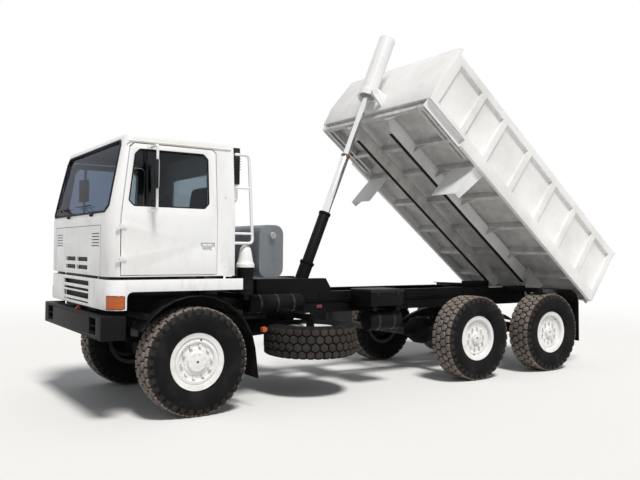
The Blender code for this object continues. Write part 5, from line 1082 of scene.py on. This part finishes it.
silver = Finish("mirror_glass", "bright_steel", (0.75, 0.77, 0.80), 0.06, 1.0)
silver.feed("Roughness", 0.04 + silver.noise(12.0, 4.0).between(0.5, 0.8) * 0.12)
for label, side in SIDES:
    out, y, foot, top = 1.300, -0.510, 1.1722 - lean(2.130), 1.1722 - lean(2.765)
    path = [(side * foot, y, 2.130), (side * out, y, 2.130), (side * out, y, 2.765), (side * top, y, 2.765)]
    arm = [pipe("arm", path, 0.0135, 0.04, 3)]
    for x, z in ((foot, 2.130), (top, 2.765)):
        ends = (side * (x - 0.001), y - 0.045, z - 0.022), (side * (x + 0.006), y + 0.045, z + 0.022)
        arm.append(block("foot", *ends, 0.003))
    fitted(joined("mirror_arm_" + label, arm), label + "_door", white)
    turned_in = at(side * out, y, 0) @ turned(-side * math.radians(19), "Z") @ at(-side * out, -y, 0)
    shell = block(
        "mirror_shell_" + label, (side * out - 0.090, y - 0.026, 2.331),
        (side * out + 0.090, y + 0.012, 2.619), 0.016,
    )
    shell.data.transform(turned_in)
    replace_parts(fitted(shell, label + "_door", dark), "mirror_" + label)
    pane = block(
        "mirror_pane_" + label, (side * out - 0.082, y + 0.010, 2.340),
        (side * out + 0.082, y + 0.0155, 2.610), 0.002,
    )
    pane.data.transform(turned_in)
    fitted(pane, label + "_door", silver)

# Cab inside
# Two sprung seats trimmed in cloth, a moulded dashboard and a two-spoke steering wheel.

cloth = Finish("seat_cloth", "seat_cloth", (0.035, 0.04, 0.055), 0.95)
weave = cloth.node("ShaderNodeTexChecker", {}, {"Vector": cloth.place, "Scale": 320.0}, "Fac")
cloth.colours((0.028, 0.032, 0.045), (0.062, 0.066, 0.080), weave * 0.5 + cloth.noise(6.0, 4.0) * 0.4)
cloth.feed("Roughness", 0.85 + weave * 0.1)
cloth.raised(weave, 0.0008, 0.4)
cloth.shader.inputs["Sheen Weight"].default_value = 0.3
coated(dark, "dashboard")

# How far the stuffing may push a point of a pad out
PAD_SWELL = 0.014


def cushion(name, low, high, slope):
    """A stuffed pad: a crowned block, then blown up as cloth with no point moved further than PAD_SWELL."""
    pad = only(block(name, low, high, 0.035))
    even = pad.modifiers.new("even", "REMESH")
    even.mode = "VOXEL"
    even.voxel_size = 0.012
    bpy.ops.object.modifier_apply(modifier="even")
    middle = (Vector(low) + Vector(high)) / 2
    half = (Vector(high) - Vector(low)) / 2
    for vertex in pad.data.vertices:
        share = [(vertex.co[axis] - middle[axis]) / half[axis] for axis in range(3)]
        for axis in range(3):
            others = [share[other] for other in range(3) if other != axis]
            swell = (1 - others[0] ** 2) * (1 - others[1] ** 2)
            vertex.co[axis] += share[axis] * (0.012 * swell - 0.016)
    rest_shape = [vertex.co.copy() for vertex in pad.data.vertices]
    stuffing = pad.modifiers.new("stuffing", "CLOTH")
    stuffing.settings.use_pressure = True
    stuffing.settings.uniform_pressure_force = 4.0
    stuffing.settings.effector_weights.gravity = 0.0
    for moment in range(1, 21):
        bpy.context.scene.frame_set(moment)
    bpy.ops.object.modifier_apply(modifier="stuffing")
    bpy.context.scene.frame_set(1)
    for vertex, start in zip(pad.data.vertices, rest_shape):
        shift = vertex.co - start
        if shift.length > PAD_SWELL:
            vertex.co = start + shift * (PAD_SWELL / shift.length)
    smooth = pad.modifiers.new("round", "SUBSURF")
    smooth.levels = smooth.render_levels = 1
    bpy.ops.object.modifier_apply(modifier="round")
    pad.data.transform(Matrix.Translation(middle) @ turned(slope, "X") @ Matrix.Translation(-middle))
    return pad


SEAT_X = 0.620
for label, side in (("driver", 1), ("passenger", -1)):
    x = side * SEAT_X
    seat = cushion(label + "_cushion", (x - 0.235, -0.325, 1.815), (x + 0.235, 0.200, 1.975), math.radians(2))
    fitted(seat, "cab", cloth)
    rest = cushion(
        label + "_backrest", (x - 0.235, 0.185, 1.975), (x + 0.235, 0.300, 2.450), math.radians(-9),
    )
    fitted(rest, "cab", cloth)
    base = [block("pedestal", (x - 0.17, -0.24, 1.5055), (x + 0.17, 0.16, 1.815), 0.02)]
    base.append(block("rail", (x - 0.20, -0.27, 1.5055), (x + 0.20, 0.19, 1.530), 0.006))
    base = fitted(joined(label + "_seat_base", base), "cab", dark)
    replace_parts(base, label + "_seat")
dials = [
    spun("dial", [(0.0, 0.0), (0.0, 0.036), (0.006, 0.040), (0.012, 0.036), (0.006, 0.032), (0.006, 0.0)], 24)
    for _ in range(2)
]
for dial, x in zip(dials, (0.55, 0.69)):
    dial.data.transform(at(x, -0.592, 1.895) @ turned(math.radians(18), "X") @ turned(math.pi / 2, "Z"))
lever = pipe("lever", [(0.15, -0.30, 1.506), (0.16, -0.36, 1.70), (0.20, -0.34, 1.90)], 0.010, 0.08, 3)
knob = spun("knob", [(-0.026, 0.0), (-0.022, 0.016), (0.0, 0.025), (0.018, 0.020), (0.026, 0.0)], 20)
knob.data.transform(at(0.20, -0.34, 1.905))
fitted(joined("dials_and_lever", [*dials, lever, knob]), "cab", dark)
mat = block("floor_mat", (-1.08, -0.62, 1.5052), (1.08, 0.34, 1.5062), 0.0003)
fitted(mat, "cab", flap_rubber)

# Behind the cab
# A white tube guard, the black intake stack and the white corrugated hose below it.

coated(white, "guard_frame")
fitted(block("rail_strip", (0.4302, 5.100, 1.202), (0.4340, 5.400, 1.2155), 0.001), "chassis", white)
stack = softened("intake_stack", "intake_head", 0.004)
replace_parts(fitted(stack, "cab", dark, AT_ONCE, slot="black_paint"), "intake_stack")
slots = [
    block("slot", (0.878, 0.45, z), (1.002, 0.5615, z + 0.006), 0.002)
    for z in (2.62, 2.65, 2.68, 2.71, 2.74, 2.77, 2.80)
]
fitted(joined("intake_fins", slots), "cab", dark)
hose = pipe(
    "corrugated_hose", [(0.940, 0.510, 2.4595), (0.940, 0.510, 2.290), (0.940, 0.4305, 2.290)], 0.040, 0.055,
    6,
)
rings = []
for z in [2.452 - 0.013 * index for index in range(11)]:
    rings.append(spun("ring", [(z - 0.004, 0.038), (z, 0.0455), (z + 0.004, 0.038)], 28, True))
    rings[-1].data.transform(at(0.940, 0.510, 0) @ turned(-math.pi / 2, "Y"))
hose = fitted(joined("corrugated_hose", [hose, *rings]), "cab", white)
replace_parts(hose, "intake_duct")

# Ram
# A telescopic ram: a black base and second stage, ground chromed stages, bronze glands and a white cover.

RAM_LEAN = math.radians(22.6)
RAM_TURN = ON_LORRY @ at(0, 1.887, 1.105) @ turned(-RAM_LEAN, "X") @ turned(-math.pi / 2, "Y")
chrome = Finish("ground_chrome", "bright_steel", (0.80, 0.80, 0.81), 0.10, 1.0)
wiped = chrome.noise(6.0, 4.0, (1, 1, 0.2))
chrome.feed("Roughness", 0.07 + wiped.between(0.4, 0.8) * 0.16)
chrome.colours((0.82, 0.82, 0.83), (0.62, 0.61, 0.60), wiped.between(0.45, 0.8))
bronze = Finish("gland_bronze", "bright_steel", (0.22, 0.10, 0.05), 0.45, 0.5)
rusted = bronze.noise(30.0, 5.0)
bronze.colours((0.30, 0.13, 0.06), (0.12, 0.06, 0.04), rusted.between(0.35, 0.7))
bronze.feed("Roughness", 0.35 + rusted * 0.35)
coated(black, "ram_base")
coated(white, "ram_cover")
for node, name, body, radius, low, high, finish in (
    ("ram_stage_2", "ram_second_tube", "ram_second", 0.0749, 0.090, 1.245, black),
    ("ram_stage_3", "ram_third_tube", "ram_third", 0.0574, 0.940, 2.130, chrome),
    ("ram_rod", "ram_top_rod", "ram_last", 0.0449, 1.975, 3.960, chrome),
):
    wall = radius - 0.009
    profile = [
        (low, wall), (low, radius), (high - 0.030, radius), (high - 0.029, radius - 0.0006),
        (high, radius - 0.0006), (high, wall),
    ]
    if node == "ram_rod":
        profile = [
            (low, 0.0), (low, radius - 0.003), (low + 0.003, radius), (high - 0.003, radius),
            (high, radius - 0.003), (high, 0.0),
        ]
    tube = fitted(spun(name, profile, 56, node != "ram_rod"), body, finish, RAM_TURN)
    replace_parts(tube, node)
for name, body, inner, outer, top, finish in (
    ("ram_base_gland", "ram_first", 0.0765, 0.0985, 0.5205, black),
    ("ram_second_gland", "ram_second", 0.0590, 0.0828, 1.2455, black),
    ("ram_third_gland", "ram_third", 0.0465, 0.0643, 2.1305, bronze),
):
    profile = [
        (top - 0.034, inner), (top - 0.034, outer - 0.002), (top - 0.031, outer), (top - 0.018, outer),
        (top - 0.017, outer - 0.0015),
    ]
    profile += [
        (top - 0.014, outer - 0.0015), (top - 0.013, outer), (top - 0.004, outer), (top, outer - 0.004),
        (top, inner),
    ]
    fitted(spun(name, profile, 56, True), body, finish, RAM_TURN)

# Tipping body
# Welded sheet steel: a ribbed tub on two runners, painted white all over and scuffed along its edges.

# The hinge at the tail of the rails, and how far the body is raised from level
HINGE_Y, HINGE_Z = 5.939, 1.105
RAISED = math.radians(37.6)
BED = ON_LORRY @ at(0, HINGE_Y, HINGE_Z) @ turned(-RAISED, "X") @ at(0, 0.502, 0.250)

tub_white = Finish("tub_white", "white_paint", (0.80, 0.80, 0.79), 0.42)
cloud = tub_white.noise(1.6, 5.0)
streak = tub_white.noise(5.0, 7.0, (1, 1, 1), 0.7)
flecks = tub_white.noise(34.0, 4.0, (1, 1, 1), 0.7).between(0.66, 0.72)
tub_base = tub_white.mixed((0.80, 0.80, 0.795), (0.69, 0.685, 0.67), cloud.between(0.35, 0.75))
tub_base = tub_white.mixed(tub_base, (0.50, 0.46, 0.41), streak.between(0.52, 0.78) * 0.30)
tub_base = tub_white.mixed(tub_base, (0.22, 0.13, 0.08), flecks * streak.between(0.45, 0.62) * 0.8)
across, along, up = tub_white.axes()
level = (along - (axle_y + HINGE_Y)) * math.sin(RAISED) + (up - HINGE_Z) * math.cos(RAISED) - 0.250
out = across.worked("ABSOLUTE", across, 0.0)
# The floor's underside and its members take a darker grey: painted shade, mottled by the streak noise.
underside_shade = level.until(0.118, 0.126) * out.until(1.160, 1.166)
underside_shade = underside_shade * (1.0 - level.until(0.006, 0.016) * out.between(0.62, 0.66))
underside_shade = underside_shade * (1.0 - out.between(0.415, 0.421) * out.until(0.4215, 0.430) * 0.6)
shade = tub_white.mixed((0.42, 0.41, 0.40), (0.60, 0.59, 0.575), streak.between(0.35, 0.65))
tub_white.colours(tub_base, shade, underside_shade)
tub_white.feed("Roughness", 0.36 + cloud * 0.16 + flecks * 0.2)
tub_white.raised(tub_white.noise(7.0, 3.0), 0.004, 0.20)


def on_bed(name, x, u, v, ease=0.003):
    """A plate of the tipping body, from ranges of x, u from the tail and v from the side's lower edge."""
    return block(name, (x[0], -u[1], v[0]), (x[1], -u[0], v[1]), ease)


tub = softened("bed_tub", "tub", 0.004, 35)
for side in (1, -1):
    notch = on_bed("notch", (side * 1.172, side * 1.300), (3.520, 4.400), (-0.100, 0.112), 0.002)
    notch.data.transform(BED)
    cut = tub.modifiers.new("notch", "BOOLEAN")
    cut.object = notch
    cut.solver = "EXACT"
    only(tub)
    bpy.ops.object.modifier_apply(modifier="notch")
    bpy.data.objects.remove(notch, do_unlink=True)
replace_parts(fitted(tub, "bed", tub_white, AT_ONCE), "bed_tub")
dressed("bed_underframe", "underframe", "bed", tub_white, 0.004, 35)
dressed("tailgate", "tail_door", "gate", tub_white, 0.0015, 35)
longerons = []
for side in (1, -1):
    for inner, low in ((1.120, 0.020), (1.020, 0.030)):
        for part, edge, v in (("web", inner, (low, 0.119)), ("flange", inner - 0.040, (low - 0.008, low))):
            longerons.append(on_bed(part, (side * edge, side * (inner + 0.008)), (3.260, 4.280), v, 0.002))
fitted(joined("outer_longerons", longerons), "bed", tub_white, BED)
lashings = []
for x in (-0.62, -0.52, 0.30, 0.40, 0.52, 0.62, 0.75):
    lashings.append(on_bed("hook", (x - 0.012, x + 0.012), (4.272, 4.300), (1.020, 1.046), 0.004))
    lashings.append(on_bed("hook", (x - 0.006, x + 0.006), (4.285, 4.318), (0.985, 1.030), 0.003))
fitted(joined("headboard_hooks", lashings), "bed", tub_white, BED)
top_rail = [
    on_bed("rail", (side * 1.166, side * 1.2305), (0.004, 4.300), (0.885, 0.9555), 0.010)
    for side in (1, -1)
]
fitted(joined("top_rails", top_rail), "bed", tub_white, BED)
ribs = []
for side in (1, -1):
    for middle in (0.570, 1.170, 1.770, 2.450, 3.090, 3.620):
        rib = on_bed(
            "rib", (side * 1.185, side * 1.2305), (middle - 0.050, middle + 0.050), (0.120, 0.880), 0.006,
        )
        for vertex in rib.data.vertices:
            if abs(vertex.co.x) > 1.21:
                vertex.co.y += 0.012 * (1 if vertex.co.y < -middle else -1)
                if vertex.co.z < 0.3:
                    vertex.co.z += 0.045
        ribs.append(rib)
fitted(joined("side_ribs", ribs), "bed", tub_white, BED)
# Dark strips along the runners' bottoms, in the flap rubber finish.
dark_strips = [
    on_bed("pack", (side * 0.380 - 0.034, side * 0.380 + 0.034), (0.62, 4.06), (-0.1388, -0.1330), 0.002)
    for side in (1, -1)
]
fitted(joined("runner_dark_strips", dark_strips), "bed", flap_rubber, BED)
gussets = []
for side in (1, -1):
    for u in (4.235, 3.620, 3.090, 2.450, 1.770, 1.170):
        gusset = on_bed(
            "gusset", (side * 0.425, side * 0.640), (u - 0.004, u + 0.004), (-0.085, 0.030), 0.001,
        )
        for vertex in gusset.data.vertices:
            if abs(vertex.co.x) > 0.6 and vertex.co.z < 0:
                vertex.co.z = 0.024
        gussets.append(gusset)
fitted(joined("runner_gussets", gussets), "bed", tub_white, BED)
hooks = []
for side in (1, -1):
    for u in (0.87, 1.47, 2.11, 2.77, 3.36, 3.93):
        x = side * 1.208
        hooks.append(
            pipe(
                "hook",
                [
                    (x, -u, 0.90), (x + side * 0.020, -u, 0.872), (x + side * 0.020, -u - 0.05, 0.872),
                    (x, -u - 0.05, 0.90),
                ],
                0.006, 0.012, 2,
            )
        )
fitted(joined("sheet_hooks", hooks), "bed", tub_white, BED, slot="bright_steel")

# Tailgate fittings
# Cast claws at the foot of the tail hold the gate shut, worked by a rod across the frame.

claws = []
for side in (1, -1):
    x = side * 1.120
    claws.append(on_bed("claw", (x - 0.016, x + 0.016), (-0.0485, 0.070), (-0.010, 0.038), 0.006))
claws.append(bar("cross_rod", (-1.12, -0.058, 0.006), (1.12, -0.058, 0.006), 0.012, 16, 0.002))
fitted(joined("gate_claws", claws), "bed", zinc, BED, slot="cast_metal")
